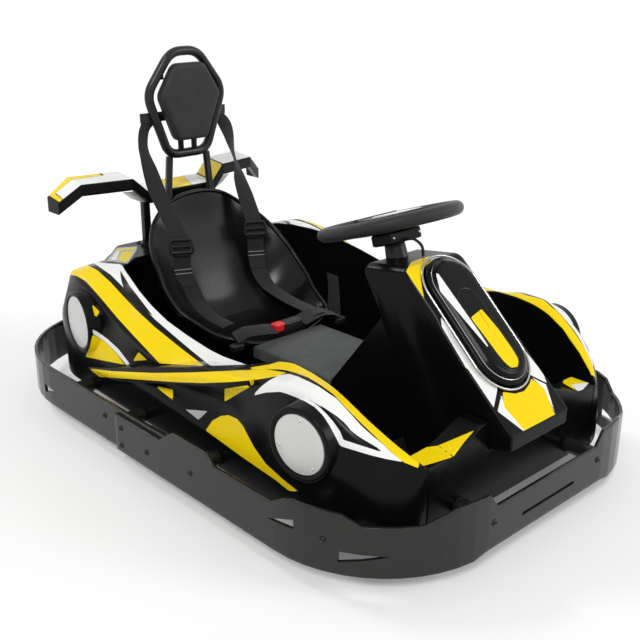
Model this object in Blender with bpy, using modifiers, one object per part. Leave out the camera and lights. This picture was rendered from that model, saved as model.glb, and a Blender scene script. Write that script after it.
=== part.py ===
"""Electric drift kart with a central driven front wheel.

Metres, +Z up, the nose towards -Y, the kart's right side at -X.
The origin lies on the floor below the middle of the bumper.
"""
import math

import bmesh
import bpy
import numpy as np
from mathutils import Vector

# Clearance between pieces that touch, and between parts that move.
GAP = 0.0003
RUNNING_GAP = 0.006

# Bumper.
WIDTH = 1.04
FRONT_Y = -0.785
REAR_Y = 0.785
BUMPER_THICKNESS = 0.008
FRONT_CORNER_RADIUS = 0.309
REAR_CORNER_RADIUS = 0.32
CORNER_STEPS = 12
FRONT_STRIP_END_Y = 0.124
REAR_STRIP_END_Y = -0.085
REAR_STRIP_TOP = 0.155
REAR_STRIP_BOTTOM = 0.045
STANDOFF_RADIUS = 0.019
STANDOFF_HEIGHT = 0.118
SIDE_STANDOFFS_Y = (-0.190, 0.115, 0.36)
FRONT_STANDOFF_X = 0.20
REAR_STANDOFF_RADIUS = 0.014
REAR_STANDOFF_HEIGHT = 0.133

# Front strip's edges: distance from the middle along the outer face, height.
STRIP_TOP = (
    (0.000, 0.150),
    (0.184, 0.150),
    (0.210, 0.184),
    (0.322, 0.184),
    (0.344, 0.160),
    (0.510, 0.160),
    (0.538, 0.184),
    (0.668, 0.184),
    (0.704, 0.158),
    (0.897, 0.158),
    (0.922, 0.182),
    (1.049, 0.182),
    (1.106, 0.142),
    (1.400, 0.142),
)
STRIP_BOTTOM = (
    (0.000, 0.053),
    (0.215, 0.053),
    (0.245, 0.045),
    (1.400, 0.045),
)

# Hull inside the bumper.
BUMPER_SPACE = 0.076
NOSE_SPACE = 0.090
TAIL_SPACE = 0.170
HULL_HALF_WIDTH = WIDTH / 2 - BUMPER_SPACE
HULL_FRONT_Y = FRONT_Y + NOSE_SPACE
HULL_REAR_Y = REAR_Y - TAIL_SPACE
BASE_FRONT_Z = 0.080
BASE_REAR_Z = 0.115
# Rounded corners in plan: how far in from the side, how far from the end.
HULL_CORNER_FRONT = (0.132, 0.230)
HULL_CORNER_REAR = (0.182, 0.180)
POD_MIN_THICKNESS = 0.020

# Side pod sections, from the front backwards. Each place across the kart is the
# distance in from the hull's side.
# y, rim in, rim z, crown in, crown z, shoulder in, shoulder z, waist in, waist z, sill z.
POD_SECTIONS = (
    (-0.695, 0.142, 0.243, 0.138, 0.244, 0.132, 0.238, 0.120, 0.200, 0.140),
    (-0.665, 0.126, 0.265, 0.112, 0.267, 0.092, 0.255, 0.076, 0.205, 0.145),
    (-0.625, 0.109, 0.292, 0.086, 0.295, 0.059, 0.285, 0.039, 0.210, 0.150),
    (-0.565, 0.092, 0.330, 0.064, 0.335, 0.034, 0.322, 0.010, 0.240, 0.150),
    (-0.515, 0.087, 0.355, 0.058, 0.364, 0.026, 0.350, 0.004, 0.250, 0.150),
    (-0.465, 0.087, 0.370, 0.056, 0.379, 0.022, 0.366, 0.002, 0.260, 0.150),
    (-0.415, 0.089, 0.377, 0.057, 0.379, 0.021, 0.370, 0.002, 0.260, 0.152),
    (-0.365, 0.092, 0.379, 0.058, 0.369, 0.022, 0.360, 0.006, 0.260, 0.155),
    (-0.315, 0.095, 0.370, 0.059, 0.359, 0.023, 0.349, 0.014, 0.250, 0.160),
    (-0.265, 0.096, 0.352, 0.060, 0.350, 0.024, 0.340, 0.022, 0.240, 0.165),
    (-0.215, 0.102, 0.330, 0.064, 0.332, 0.026, 0.322, 0.032, 0.230, 0.168),
    (-0.165, 0.106, 0.314, 0.066, 0.316, 0.026, 0.306, 0.036, 0.225, 0.172),
    (-0.115, 0.096, 0.317, 0.058, 0.306, 0.019, 0.294, 0.037, 0.225, 0.178),
    (-0.065, 0.082, 0.328, 0.049, 0.302, 0.011, 0.284, 0.036, 0.225, 0.185),
    (0.010, 0.074, 0.344, 0.044, 0.312, 0.005, 0.282, 0.030, 0.225, 0.193),
    (0.085, 0.070, 0.361, 0.042, 0.330, 0.002, 0.293, 0.024, 0.225, 0.200),
    (0.160, 0.076, 0.379, 0.047, 0.350, 0.002, 0.318, 0.018, 0.232, 0.202),
    (0.235, 0.089, 0.397, 0.059, 0.370, 0.004, 0.346, 0.012, 0.240, 0.200),
    (0.285, 0.102, 0.408, 0.064, 0.386, 0.006, 0.364, 0.006, 0.256, 0.190),
    (0.335, 0.117, 0.415, 0.067, 0.401, 0.010, 0.380, 0.003, 0.270, 0.180),
    (0.385, 0.136, 0.418, 0.068, 0.411, 0.016, 0.393, 0.001, 0.280, 0.170),
    (0.435, 0.156, 0.418, 0.068, 0.414, 0.024, 0.399, 0.002, 0.288, 0.160),
    (0.485, 0.178, 0.415, 0.074, 0.409, 0.038, 0.397, 0.006, 0.292, 0.150),
    (0.530, 0.194, 0.411, 0.092, 0.400, 0.060, 0.390, 0.020, 0.292, 0.145),
    (0.570, 0.206, 0.406, 0.118, 0.392, 0.090, 0.382, 0.046, 0.290, 0.142),
    (0.600, 0.214, 0.400, 0.150, 0.388, 0.122, 0.376, 0.084, 0.286, 0.140),
    (0.615, 0.218, 0.396, 0.180, 0.384, 0.156, 0.370, 0.126, 0.282, 0.140),
)

# Blade of the front pod: y, top z, bottom z, how far outside the hull's side.
BLADE_SECTIONS = (
    (0.366, 0.168, 0.164, 0.005),
    (0.300, 0.187, 0.168, 0.011),
    (0.220, 0.214, 0.180, 0.015),
    (0.120, 0.247, 0.208, 0.017),
    (0.010, 0.283, 0.240, 0.017),
    (-0.080, 0.311, 0.268, 0.016),
    (-0.165, 0.335, 0.292, 0.014),
    (-0.240, 0.341, 0.311, 0.008),
    (-0.300, 0.345, 0.328, -0.004),
)
BLADE_ROOT = 0.039
BLADE_EDGE = 0.006
BLADE_LIP = 0.004

# Round covers let into the pods: y, z, cover radius, boss radius, boss height.
DISCS = {
    "front": (-0.490, 0.268, 0.066, 0.084, 0.017),
    "rear": (0.382, 0.292, 0.058, 0.075, 0.019),
}
BOSS_ROOT = 0.059
BOSS_FLARE = 1.22
DISC_THICKNESS = 0.004
DISC_RECESS = 0.006

# Floor, front cowl and rear deck.
FLOOR_BOTTOM = 0.085
FLOOR_TOP = 0.100
FLOOR_REAR_SPACE = 0.020
COWL_DEPTH = 0.065
COWL_BOTTOM = 0.080
COWL_NOSE_TOP = 0.215
COWL_PEAK_WIDTH = 0.028
COWL_PEAK_TOP = 0.280
COWL_SLOPE_WIDTH = 0.072
COWL_SIDE_TOP = (0.243, 0.240)
DECK_TOP = 0.420
DECK_SHELF_TOP = 0.398
DECK_LENGTH = 0.137
DECK_SHELF_LENGTH = 0.192
DECK_BLOCK_INSET = 0.021
DECK_FRONT_Y = HULL_REAR_Y - DECK_LENGTH

# Chassis rails below the floor.
FRAME_BOTTOM = 0.055
RAIL_X = 0.155
RAIL_WIDTH = 0.030
RAIL_FRONT_SPACE = 0.075
RAIL_REAR_SPACE = 0.015
BAR_WIDTH = 0.030
BAR_INSET = 0.001
OUTRIGGER_INSET = 0.024
BAR_FRONT_SPACE = 0.020
BAR_BEHIND_YOKE = 0.225
BARS_BEHIND_SEAT_FRONT = (0.025, 0.285)

# Console: its nose overhangs the hull's front.
CONSOLE_FRONT_Y = FRONT_Y + 0.035
CONSOLE_REAR = 0.522
CONSOLE_HALF_WIDTH_LOW = 0.124
CONSOLE_HALF_WIDTH_HIGH = 0.100
CONSOLE_NARROWS_Z = (0.225, 0.426)
CONSOLE_NOSE_LENGTH = 0.130
CONSOLE_NOSE_HALF_WIDTH = 0.103
CONSOLE_NOSE_GAP = 0.003
CONSOLE_CROWN = 0.014
CROWN_SHARE = 0.78
CONSOLE_FACE = ((0.314, 0.540), (0.0, 0.262))
# Side outline: distance behind the console's front, height.
CONSOLE_OUTLINE = (
    (CONSOLE_REAR, FLOOR_TOP + GAP),
    (CONSOLE_REAR, 0.225),
    (0.379, 0.426),
    (0.440, 0.522),
    *CONSOLE_FACE,
    (0.0, 0.228),
    (0.050, COWL_NOSE_TOP),
    (NOSE_SPACE + COWL_DEPTH - 0.030, COWL_NOSE_TOP),
    (NOSE_SPACE + COWL_DEPTH - 0.005, FLOOR_TOP + GAP),
)

# Raised pod on the console's face, in steps outwards:
# lift off the face, half width, first and last place down the face.
CONSOLE_POD = (
    (GAP, 0.075, 0.000, 0.335),
    (0.010, 0.073, 0.003, 0.332),
    (0.020, 0.058, 0.018, 0.318),
    (0.025, 0.045, 0.036, 0.303),
)
POD_ARC_STEPS = 12

# Running gear.
YOKE_SPACE = 0.325
YOKE_Y = CONSOLE_FRONT_Y + YOKE_SPACE
DRIVE_RADIUS = 0.083
DRIVE_WIDTH = 0.050
TREAD_CHAMFER = (0.004, 0.006)
TYRE_DEPTH = 0.025
RIM_RADIUS = DRIVE_RADIUS - TYRE_DEPTH
AXLE_RADIUS = 0.007
HUB_RADIUS = 0.030
HUB_PROUD = 0.001
YOKE_LEG = 0.008
YOKE_DEPTH = 0.022
YOKE_STEM_RADIUS = 0.015
YOKE_STEM_TOP = DRIVE_RADIUS * 2 + 0.084
WHEEL_WELL_RADIUS = DRIVE_RADIUS + 0.023
WHEEL_WELL_TOP = DRIVE_RADIUS * 2 + 0.029

# Casters: wheel radius, wheel width, trail, how far in from the hull's side, y.
CASTERS = {
    "rear": (0.0375, 0.028, 0.030, 0.144, HULL_REAR_Y - 0.100),
    "front": (0.0250, 0.020, 0.018, 0.159, HULL_FRONT_Y + 0.195),
}
CASTER_LEG = 0.003
CASTER_SIDE_GAP = 0.0025
CASTER_CROWN_GAP = 0.005
CASTER_AXLE_RADIUS = 0.004
CASTER_RACE_RADIUS = 0.015
CASTER_LEG_DEPTH = 0.008
CASTER_TREAD_CHAMFER = 0.003

# Steering.
COLUMN_TILT = math.radians(18.2)
WHEEL_SPACE = 0.454
WHEEL_CENTRE = (0.0, CONSOLE_FRONT_Y + WHEEL_SPACE, 0.616)
WHEEL_RIM_RADIUS = 0.157
WHEEL_TUBE_RADIUS = 0.016
WHEEL_HUB_RADIUS = 0.045
WHEEL_HUB = (-0.030, -0.012)
SPOKE = (0.022, -0.024, -0.010)
SPOKE_TURNS = (0.0, math.pi, math.pi / 2)
SHAFT_RADIUS = 0.012
SHAFT_LOW = -0.169
HOUSING_RADIUS = 0.027
HOUSING = (-0.110, -0.060)
SWITCH_BOX = (0.055, 0.032, -0.0595, -0.036)
SWITCH_BOX_EDGE = 0.005

# Lead between the switch box and the console's top, from the wheel's centre.
CABLE_RADIUS = 0.0035
CABLE_POINTS = (
    (0.012, -0.0462, -0.0353),
    (0.014, -0.0600, -0.0320),
    (0.016, -0.0760, -0.0370),
    (0.018, -0.0870, -0.0490),
    (0.018, -0.0900, -0.0678),
)

# Bucket seat, from its front edge backwards. Each row is so much narrower than
# the widest one.
# centre y, centre z, narrower by, flange y, flange z.
SEAT_WALL = 0.010
SEAT_BACK_SPACE = 0.008
SEAT_ROOM = 0.108
SEAT_LOW_Z = 0.193
SEAT_ROWS = (
    (0.000, 0.214, 0.070, 0.010, 0.250),
    (0.055, 0.203, 0.040, 0.055, 0.256),
    (0.125, SEAT_LOW_Z, 0.020, 0.127, 0.281),
    (0.190, SEAT_LOW_Z, 0.001, 0.173, 0.308),
    (0.250, 0.208, 0.000, 0.205, 0.334),
    (0.293, 0.250, 0.001, 0.231, 0.358),
    (0.321, 0.305, 0.008, 0.257, 0.387),
    (0.343, 0.365, 0.024, 0.313, 0.438),
    (0.363, 0.430, 0.046, 0.345, 0.470),
    (0.380, 0.490, 0.084, 0.373, 0.505),
    (0.395, 0.550, 0.136, 0.395, 0.544),
)
SEAT_FRONT_Y = DECK_FRONT_Y - SEAT_BACK_SPACE - SEAT_ROWS[-1][0]
SEAT_WIDEST_Y = SEAT_FRONT_Y + 0.205
SEAT_SHARES = (-1.0, -0.88, -0.68, -0.38, 0.0, 0.38, 0.68, 0.88, 1.0)
SEAT_HOLLOW = 2.6

# Tunnel between console and seat, and what lies on it.
TUNNEL_FRONT_Y = CONSOLE_FRONT_Y + CONSOLE_REAR + 0.002
TUNNEL_REAR_Y = SEAT_FRONT_Y - 0.007
CUSHION_HALF_WIDTH = 0.122
CUSHION_BOTTOM = 0.196
CUSHION_TOP = 0.243
CUSHION_EDGE = 0.010
BATTERY_HALF_WIDTH = 0.105
BATTERY_SPACE = 0.006
SEAT_MOUNT = (0.090, 0.105, 0.215)
BUCKLE_HALF_WIDTH = 0.034
BUCKLE_HEIGHT = 0.025
BUCKLE_SPACE = (0.044, 0.010)

# Head rest on a tube frame, and the plate that holds the straps.
HEADREST_Y = DECK_FRONT_Y + 0.019
HEADREST_BAR_RADIUS = 0.0105
HEADREST_RING = ((0.043, 0.948), (0.128, 0.838), (0.066, 0.667))
HEADREST_PAD = ((0.047, 0.912), (0.096, 0.833), (0.050, 0.712))
PAD_THICKNESS = 0.030
PAD_GAP = 0.0035
PAD_EDGE = 0.008
RING_ROUNDING = 0.022
PAD_ROUNDING = 0.012
POST_SPREAD = (0.064, 0.086)
POST_FOOT_RADIUS = 0.016
FOOT_HEIGHT = 0.008
STRAP_PLATE = (0.145, 0.006, 0.762, 0.788)
PAD_TABS_X = 0.023
PAD_TAB = (0.008, 0.003)
PAD_SIDE_TABS = ((0.088, 0.884), (0.087, 0.775))

# Wing: x, distance of its front edge behind the deck's front, z of the top, depth.
WING = (
    (0.000, 0.030, 0.566, 0.090),
    (0.067, 0.030, 0.566, 0.090),
    (0.113, 0.054, 0.560, 0.085),
    (0.159, 0.062, 0.604, 0.085),
    (0.300, 0.105, 0.601, 0.080),
    (0.359, 0.137, 0.552, 0.060),
)
WING_FASCIA = 0.030
WING_LIP = (0.008, 0.012)
WING_RISE = (0.010, 0.004)
WING_SKIN = 0.006
WING_POST_TOP = 0.588
WING_POST_INSET = 0.065
WING_POST_Y = DECK_FRONT_Y + 0.087
WING_POST_RADIUS = 0.012
WING_FOOT_RADIUS = 0.026

# Harness. A strap's place along the kart is measured from the seat's front edge.
# Its ribbon turns by so many degrees on the kart's right and left.
STRAP_WIDTH = 0.048
STRAP_THICKNESS = 0.0024
# Above the seat: x, y, z, turn right, turn left.
STRAP_HANGING = (
    (0.120, 0.4340, 0.7614, 0, 0),
    (0.140, 0.4300, 0.735, 20, 0),
    (0.150, 0.419, 0.690, 25, 20),
    (0.148, 0.395, 0.635, 0, 45),
)
# In the seat: share of its half width, y, z, turn right, turn left.
STRAP_IN_SEAT = (
    (0.617, 0.370, 0.580, -25, 10),
    (0.592, 0.330, 0.520, -30, -20),
    (0.562, 0.287, 0.443, -30, -30),
    (0.562, 0.285, 0.372, -25, -30),
    (0.520, 0.270, 0.330, -15, -20),
    (0.460, 0.248, 0.278, 0, 0),
    (0.404, 0.205, 0.244, 10, 0),
    (0.362, 0.145, 0.232, 10, 0),
)
LAP_BELT_WIDTH = 0.040
# Share of the seat's half width, y, z.
LAP_BELT = (
    (0.760, 0.090, 0.268),
    (0.574, 0.040, 0.270),
    (0.340, -0.008, 0.262),
)
LAP_BELT_LEAN = (0, 0.9, 0.4)
SPLINE_STEPS = 4

# Pedals: place across, distance behind the hull's front, and their parts' sizes.
PEDAL_X = 0.215
PEDAL_SPACE = 0.165
PEDAL_BASE = (0.030, 0.060, 0.006)
PEDAL_PLATE = (0.026, 0.045, 0.003)
PEDAL_ARM = (0.006, 0.012, 0.075)
PEDAL_TILT = math.radians(60)
PEDAL_HEIGHT = 0.070

COLOURS = {
    "black_plastic": ((0.018, 0.018, 0.020), 0.35, 0.0),
    "bumper_plastic": ((0.040, 0.042, 0.045), 0.28, 0.0),
    "black_steel": ((0.020, 0.020, 0.022), 0.45, 0.6),
    "grey_disc": ((0.620, 0.630, 0.640), 0.35, 0.0),
    "rubber": ((0.015, 0.015, 0.015), 0.80, 0.0),
    "foam_skin": ((0.040, 0.042, 0.046), 0.75, 0.0),
    "webbing": ((0.030, 0.030, 0.032), 0.85, 0.0),
    "red_plastic": ((0.700, 0.020, 0.015), 0.35, 0.0),
    "zinc": ((0.550, 0.560, 0.580), 0.35, 1.0),
    "battery_case": ((0.050, 0.060, 0.080), 0.60, 0.0),
}


# Scene and shared helpers.
def start():
    for thing in list(bpy.data.objects):
        bpy.data.objects.remove(thing, do_unlink=True)
    found = {}
    for name in ("drift_kart", "cutters"):
        group = bpy.data.collections.new(name)
        bpy.context.scene.collection.children.link(group)
        found[name] = group
    return found


GROUPS = start()


def material(name):
    known = bpy.data.materials.get(name)
    if known:
        return known
    colour, roughness, metallic = COLOURS[name]
    made = bpy.data.materials.new(name)
    made.use_nodes = True
    shader = made.node_tree.nodes["Principled BSDF"]
    shader.inputs["Base Color"].default_value = (*colour, 1.0)
    shader.inputs["Roughness"].default_value = roughness
    shader.inputs["Metallic"].default_value = metallic
    return made


def add_object(name, data, colour=None):
    thing = bpy.data.objects.new(name, data)
    GROUPS["drift_kart"].objects.link(thing)
    if colour:
        data.materials.append(material(colour))
    return thing


def move_to(thing, group):
    for known in list(thing.users_collection):
        known.objects.unlink(thing)
    GROUPS[group].objects.link(thing)


def from_bmesh(name, shape, colour):
    bmesh.ops.recalc_face_normals(shape, faces=shape.faces)
    data = bpy.data.meshes.new(name)
    shape.to_mesh(data)
    shape.free()
    return add_object(name, data, colour)


def smooth(thing, angle=35):
    thing.data.shade_smooth()
    thing.data.set_sharp_from_angle(angle=math.radians(angle))
    return thing


def combine(thing, other, operation):
    other.hide_render = True
    other.display_type = "WIRE"
    move_to(other, "cutters")
    step = thing.modifiers.new(operation.lower(), "BOOLEAN")
    step.operation = operation
    step.object = other


def join(thing, *others):
    for other in others:
        combine(thing, other, "UNION")
    return thing


def cut(thing, *others):
    for other in others:
        combine(thing, other, "DIFFERENCE")
    return thing


def bevel(thing, width, segments=1):
    step = thing.modifiers.new("rounded edges", "BEVEL")
    step.width = width
    step.segments = segments
    step.limit_method = "ANGLE"
    step.angle_limit = math.radians(40)
    return thing


def box(name, low, high, colour="black_plastic"):
    shape = bmesh.new()
    bmesh.ops.create_cube(shape, size=1.0)
    low, high = Vector(low), Vector(high)
    bmesh.ops.scale(shape, vec=high - low, verts=shape.verts)
    bmesh.ops.translate(shape, vec=(low + high) / 2, verts=shape.verts)
    return from_bmesh(name, shape, colour)


def rod(name, start_point, end_point, radius, colour="black_steel", sides=24, end_radius=None):
    start_point, end_point = Vector(start_point), Vector(end_point)
    along = end_point - start_point
    shape = bmesh.new()
    bmesh.ops.create_cone(
        shape, cap_ends=True, segments=sides, radius1=radius,
        radius2=radius if end_radius is None else end_radius, depth=along.length)
    turn = Vector((0, 0, 1)).rotation_difference(along.normalized()).to_matrix()
    bmesh.ops.rotate(shape, matrix=turn, verts=shape.verts)
    bmesh.ops.translate(shape, vec=(start_point + end_point) / 2, verts=shape.verts)
    return smooth(from_bmesh(name, shape, colour))


def tube(name, points, radius, colour="black_steel", closed=False):
    curve = bpy.data.curves.new(name, "CURVE")
    curve.dimensions = "3D"
    curve.bevel_depth = radius
    curve.bevel_resolution = 2
    curve.use_fill_caps = not closed
    line = curve.splines.new("POLY")
    line.points.add(len(points) - 1)
    for place, point in zip(line.points, points):
        place.co = (*point, 1.0)
    line.use_cyclic_u = closed
    return add_object(name, curve, colour)


def as_mesh(thing, merge=0.00005):
    bpy.context.view_layer.update()
    graph = bpy.context.evaluated_depsgraph_get()
    data = bpy.data.meshes.new_from_object(thing.evaluated_get(graph))
    shape = bmesh.new()
    shape.from_mesh(data)
    bmesh.ops.remove_doubles(shape, verts=shape.verts, dist=merge)
    bmesh.ops.recalc_face_normals(shape, faces=shape.faces)
    shape.to_mesh(data)
    shape.free()
    name = thing.name
    place = thing.matrix_world.copy()
    bpy.data.objects.remove(thing)
    made = add_object(name, data)
    made.matrix_world = place
    return made


def loft(name, sections, colour):
    """Closed skin through sections that have the same number of points."""
    shape = bmesh.new()
    rings = [[shape.verts.new(point) for point in section] for section in sections]
    count = len(rings[0])
    for first, second in zip(rings, rings[1:]):
        for i in range(count):
            j = (i + 1) % count
            shape.faces.new((first[i], first[j], second[j], second[i]))
    shape.faces.new(rings[0])
    shape.faces.new(rings[-1])
    return smooth(from_bmesh(name, shape, colour))


def sheet(name, rows, thickness, colour, offset=-1.0):
    """Open grid of points given a wall."""
    shape = bmesh.new()
    grid = [[shape.verts.new(point) for point in row] for row in rows]
    for first, second in zip(grid, grid[1:]):
        for i in range(len(first) - 1):
            shape.faces.new((first[i], first[i + 1], second[i + 1], second[i]))
    data = bpy.data.meshes.new(name)
    shape.to_mesh(data)
    shape.free()
    thing = add_object(name, data, colour)
    wall = thing.modifiers.new("wall", "SOLIDIFY")
    wall.thickness = thickness
    wall.offset = offset
    wall.use_even_offset = True
    return smooth(thing)


def flat(name, outline, low, high, colour, upright=False):
    """Flat outline given a thickness: from low to high in Z, or in Y if upright."""
    curve = bpy.data.curves.new(name, "CURVE")
    curve.dimensions = "2D"
    curve.fill_mode = "BOTH"
    curve.extrude = (high - low) / 2
    line = curve.splines.new("POLY")
    line.points.add(len(outline) - 1)
    for spot, (across, along) in zip(line.points, outline):
        spot.co = (across, along, 0.0, 1.0)
    line.use_cyclic_u = True
    thing = add_object(name, curve, colour)
    middle = (low + high) / 2
    thing.location = (0, middle, 0) if upright else (0, 0, middle)
    thing.rotation_euler = (math.pi / 2 if upright else 0, 0, 0)
    return as_mesh(thing)


def mirrored(half):
    """Closed outline from its half at +X, listed from the top down."""
    return [*half, *((-x, other) for x, other in reversed(half))]


def rounded(outline, size, steps=4):
    """Closed outline with each corner drawn as a short curve."""
    found = []
    spots = [Vector(spot) for spot in outline]
    for i, corner in enumerate(spots):
        before, after = spots[i - 1] - corner, spots[(i + 1) % len(spots)] - corner
        first = corner + before.normalized() * min(size, before.length * 0.45)
        last = corner + after.normalized() * min(size, after.length * 0.45)
        for step in range(steps + 1):
            t = step / steps
            found.append((1 - t) ** 2 * first + 2 * t * (1 - t) * corner + t * t * last)
    return found


def spline(points, per_span):
    """Smooth curve through a few points."""
    points = [Vector(point) for point in points]
    ends = [2 * points[0] - points[1], *points, 2 * points[-1] - points[-2]]
    found = []
    for a, b, c, d in zip(ends, ends[1:], ends[2:], ends[3:]):
        for step in range(per_span):
            t = step / per_span
            found.append(
                0.5 * (2 * b + (c - a) * t + (2 * a - 5 * b + 4 * c - d) * t * t
                       + (3 * b - a - 3 * c + d) * t ** 3))
    return found + [points[-1]]


def read_table(table, key, column=1):
    keys = [row[0] for row in table]
    return float(np.interp(key, keys, [row[column] for row in table]))


def side_word(side):
    return "right" if side < 0 else "left"


# Bumper strips.
def strip_path(half_width, end_y, radius, last_y, stations):
    """Half of a strip's outer line, from the middle: distance along it, x, y."""
    straight = half_width - radius
    toward = 1 if end_y < 0 else -1
    arc = radius * math.pi / 2
    side = abs(last_y - (end_y + toward * radius))
    found = [(0.0, 0.0, end_y)]
    for step in range(CORNER_STEPS + 1):
        turn = math.pi / 2 * step / CORNER_STEPS
        found.append((straight + radius * turn, straight + radius * math.sin(turn),
                      end_y + toward * radius * (1 - math.cos(turn))))
    for station in stations:
        along = station - straight - arc
        if 0 < station < straight:
            found.append((station, station, end_y))
        elif 0 < along < side:
            found.append((station, half_width, end_y + toward * (radius + along)))
    found.append((straight + arc + side, half_width, last_y))
    return sorted(set(found))


def bumper_strip(name, half_width, end_y, radius, last_y, top, bottom):
    stations = [row[0] for row in top + bottom]
    half = strip_path(half_width, end_y, radius, last_y, stations)
    path = [(s, -x, y) for s, x, y in reversed(half[1:])] + half
    low = [(x, y, read_table(bottom, s)) for s, x, y in path]
    high = [(x, y, read_table(top, s)) for s, x, y in path]
    return sheet(name, [low, high], BUMPER_THICKNESS, "bumper_plastic",
                 offset=-1.0 if end_y < 0 else 1.0)


def bumper():
    front = bumper_strip("bumper_front_strip", WIDTH / 2, FRONT_Y, FRONT_CORNER_RADIUS,
                         FRONT_STRIP_END_Y, STRIP_TOP, STRIP_BOTTOM)
    rear_half_width = WIDTH / 2 - BUMPER_THICKNESS - GAP
    rear = bumper_strip("bumper_rear_strip", rear_half_width, REAR_Y, REAR_CORNER_RADIUS,
                        REAR_STRIP_END_Y, ((0, REAR_STRIP_TOP),), ((0, REAR_STRIP_BOTTOM),))
    sunk = BUMPER_THICKNESS / 2
    rear_x = rim_x(HULL_REAR_Y) + REAR_STANDOFF_RADIUS + 3 * GAP
    for side in (-1, 1):
        for y in SIDE_STANDOFFS_Y:
            ahead = y < REAR_STRIP_END_Y
            outer = WIDTH / 2 - sunk if ahead else rear_half_width - sunk
            join(front if ahead else rear,
                 rod("standoff", (side * (HULL_HALF_WIDTH + GAP), y, STANDOFF_HEIGHT),
                     (side * outer, y, STANDOFF_HEIGHT), STANDOFF_RADIUS, sides=16))
        x = side * FRONT_STANDOFF_X
        join(front, rod("standoff", (x, HULL_FRONT_Y - GAP, STANDOFF_HEIGHT),
                        (x, FRONT_Y + sunk, STANDOFF_HEIGHT), STANDOFF_RADIUS, sides=16))
        x = side * rear_x
        join(rear, rod("standoff", (x, HULL_REAR_Y + GAP, REAR_STANDOFF_HEIGHT),
                       (x, REAR_Y - sunk, REAR_STANDOFF_HEIGHT), REAR_STANDOFF_RADIUS, sides=16))


# Hull.
def station(y):
    """Where a listed section lies when the hull is made longer or shorter."""
    drawn = (POD_SECTIONS[0][0], POD_SECTIONS[-1][0])
    return float(np.interp(y, drawn, (HULL_FRONT_Y, HULL_REAR_Y)))


def base_z(y):
    return float(np.interp(y, (HULL_FRONT_Y, HULL_REAR_Y), (BASE_FRONT_Z, BASE_REAR_Z)))


def hull_x(y):
    """Half width of the hull's lower wall, with its rounded corners in plan."""
    for (inset, length), end_y in ((HULL_CORNER_FRONT, HULL_FRONT_Y), (HULL_CORNER_REAR, HULL_REAR_Y)):
        past = 1 - abs(y - end_y) / length
        if past > 0:
            return HULL_HALF_WIDTH - inset * (1 - math.sqrt(max(0.0, 1 - past * past)))
    return HULL_HALF_WIDTH


def rim_x(y):
    """Half width of the cockpit at the pods' inner rim."""
    placed = [(station(row[0]), row[1]) for row in POD_SECTIONS]
    return HULL_HALF_WIDTH - read_table(placed, y)


def pod_ring(row):
    """Outline across one pod, at +X, from the inner foot over the top."""
    y, rim_in, rim_z, crown_in, crown_z, shoulder_in, shoulder_z, waist_in, waist_z, sill_z = row
    y = station(y)
    low = base_z(y)
    rim = HULL_HALF_WIDTH - rim_in
    outer = max(hull_x(y), rim + POD_MIN_THICKNESS)
    ring = [(rim, low), (rim, rim_z), (HULL_HALF_WIDTH - crown_in, crown_z),
            (HULL_HALF_WIDTH - shoulder_in, shoulder_z), (HULL_HALF_WIDTH - waist_in, waist_z),
            (outer, sill_z), (outer, low)]
    return [(x, y, z) for x, z in ring]


def blade_ring(row):
    """Outline across the blade, at +X."""
    y, top, low, outside = row
    root, outer = HULL_HALF_WIDTH - BLADE_ROOT, HULL_HALF_WIDTH + outside
    ring = [(root, low), (root, top), (outer - BLADE_EDGE, top), (outer, (top + low) / 2),
            (outer - BLADE_LIP, low)]
    return [(x, station(y), z) for x, z in ring]


def to_side(ring, side):
    return [(side * x, y, z) for x, y, z in ring]


def side_pod(side):
    pod = loft("side_pod_" + side_word(side), [to_side(pod_ring(row), side) for row in POD_SECTIONS],
               "black_plastic")
    join(pod, loft("blade", [to_side(blade_ring(row), side) for row in BLADE_SECTIONS], "black_plastic"))
    for y, z, cover, boss, height in DISCS.values():
        y = station(y)
        face = HULL_HALF_WIDTH + height
        join(pod, rod("boss", (side * (HULL_HALF_WIDTH - BOSS_ROOT), y, z), (side * face, y, z),
                      boss * BOSS_FLARE, sides=40, end_radius=boss))
        cut(pod, rod("seat", (side * (face - DISC_RECESS), y, z), (side * (face + DISC_RECESS), y, z),
                     cover + GAP, sides=40))
    return pod


def disc_covers():
    for side in (-1, 1):
        for place, (y, z, cover, _boss, height) in DISCS.items():
            inner = HULL_HALF_WIDTH + height - DISC_RECESS + GAP
            rod(f"disc_cover_{place}_{side_word(side)}", (side * inner, station(y), z),
                (side * (inner + DISC_THICKNESS), station(y), z), cover, "grey_disc", sides=40)


def floor_pan():
    first, last = HULL_FRONT_Y + COWL_DEPTH + GAP, HULL_REAR_Y - FLOOR_REAR_SPACE
    inside = [station(row[0]) for row in POD_SECTIONS if first < station(row[0]) < last]
    outline = mirrored([(rim_x(y) - GAP, y) for y in (last, *reversed(inside), first)])
    pan = flat("floor_pan", outline, FLOOR_BOTTOM, FLOOR_TOP, "black_plastic")
    return cut(pan, rod("well", (0, YOKE_Y, 0), (0, YOKE_Y, WHEEL_WELL_TOP), WHEEL_WELL_RADIUS, sides=40))


def front_cowl():
    inner = CONSOLE_NOSE_HALF_WIDTH + CONSOLE_NOSE_GAP
    outer = rim_x(HULL_FRONT_Y) - GAP
    shoulder_z, side_z = COWL_SIDE_TOP
    half = [(inner, COWL_NOSE_TOP - GAP), (inner, COWL_PEAK_TOP), (inner + COWL_PEAK_WIDTH, COWL_PEAK_TOP),
            (outer - COWL_SLOPE_WIDTH, shoulder_z), (outer, side_z), (outer, COWL_BOTTOM)]
    return flat("front_cowl", mirrored(half), HULL_FRONT_Y, HULL_FRONT_Y + COWL_DEPTH, "black_plastic",
                upright=True)


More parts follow.
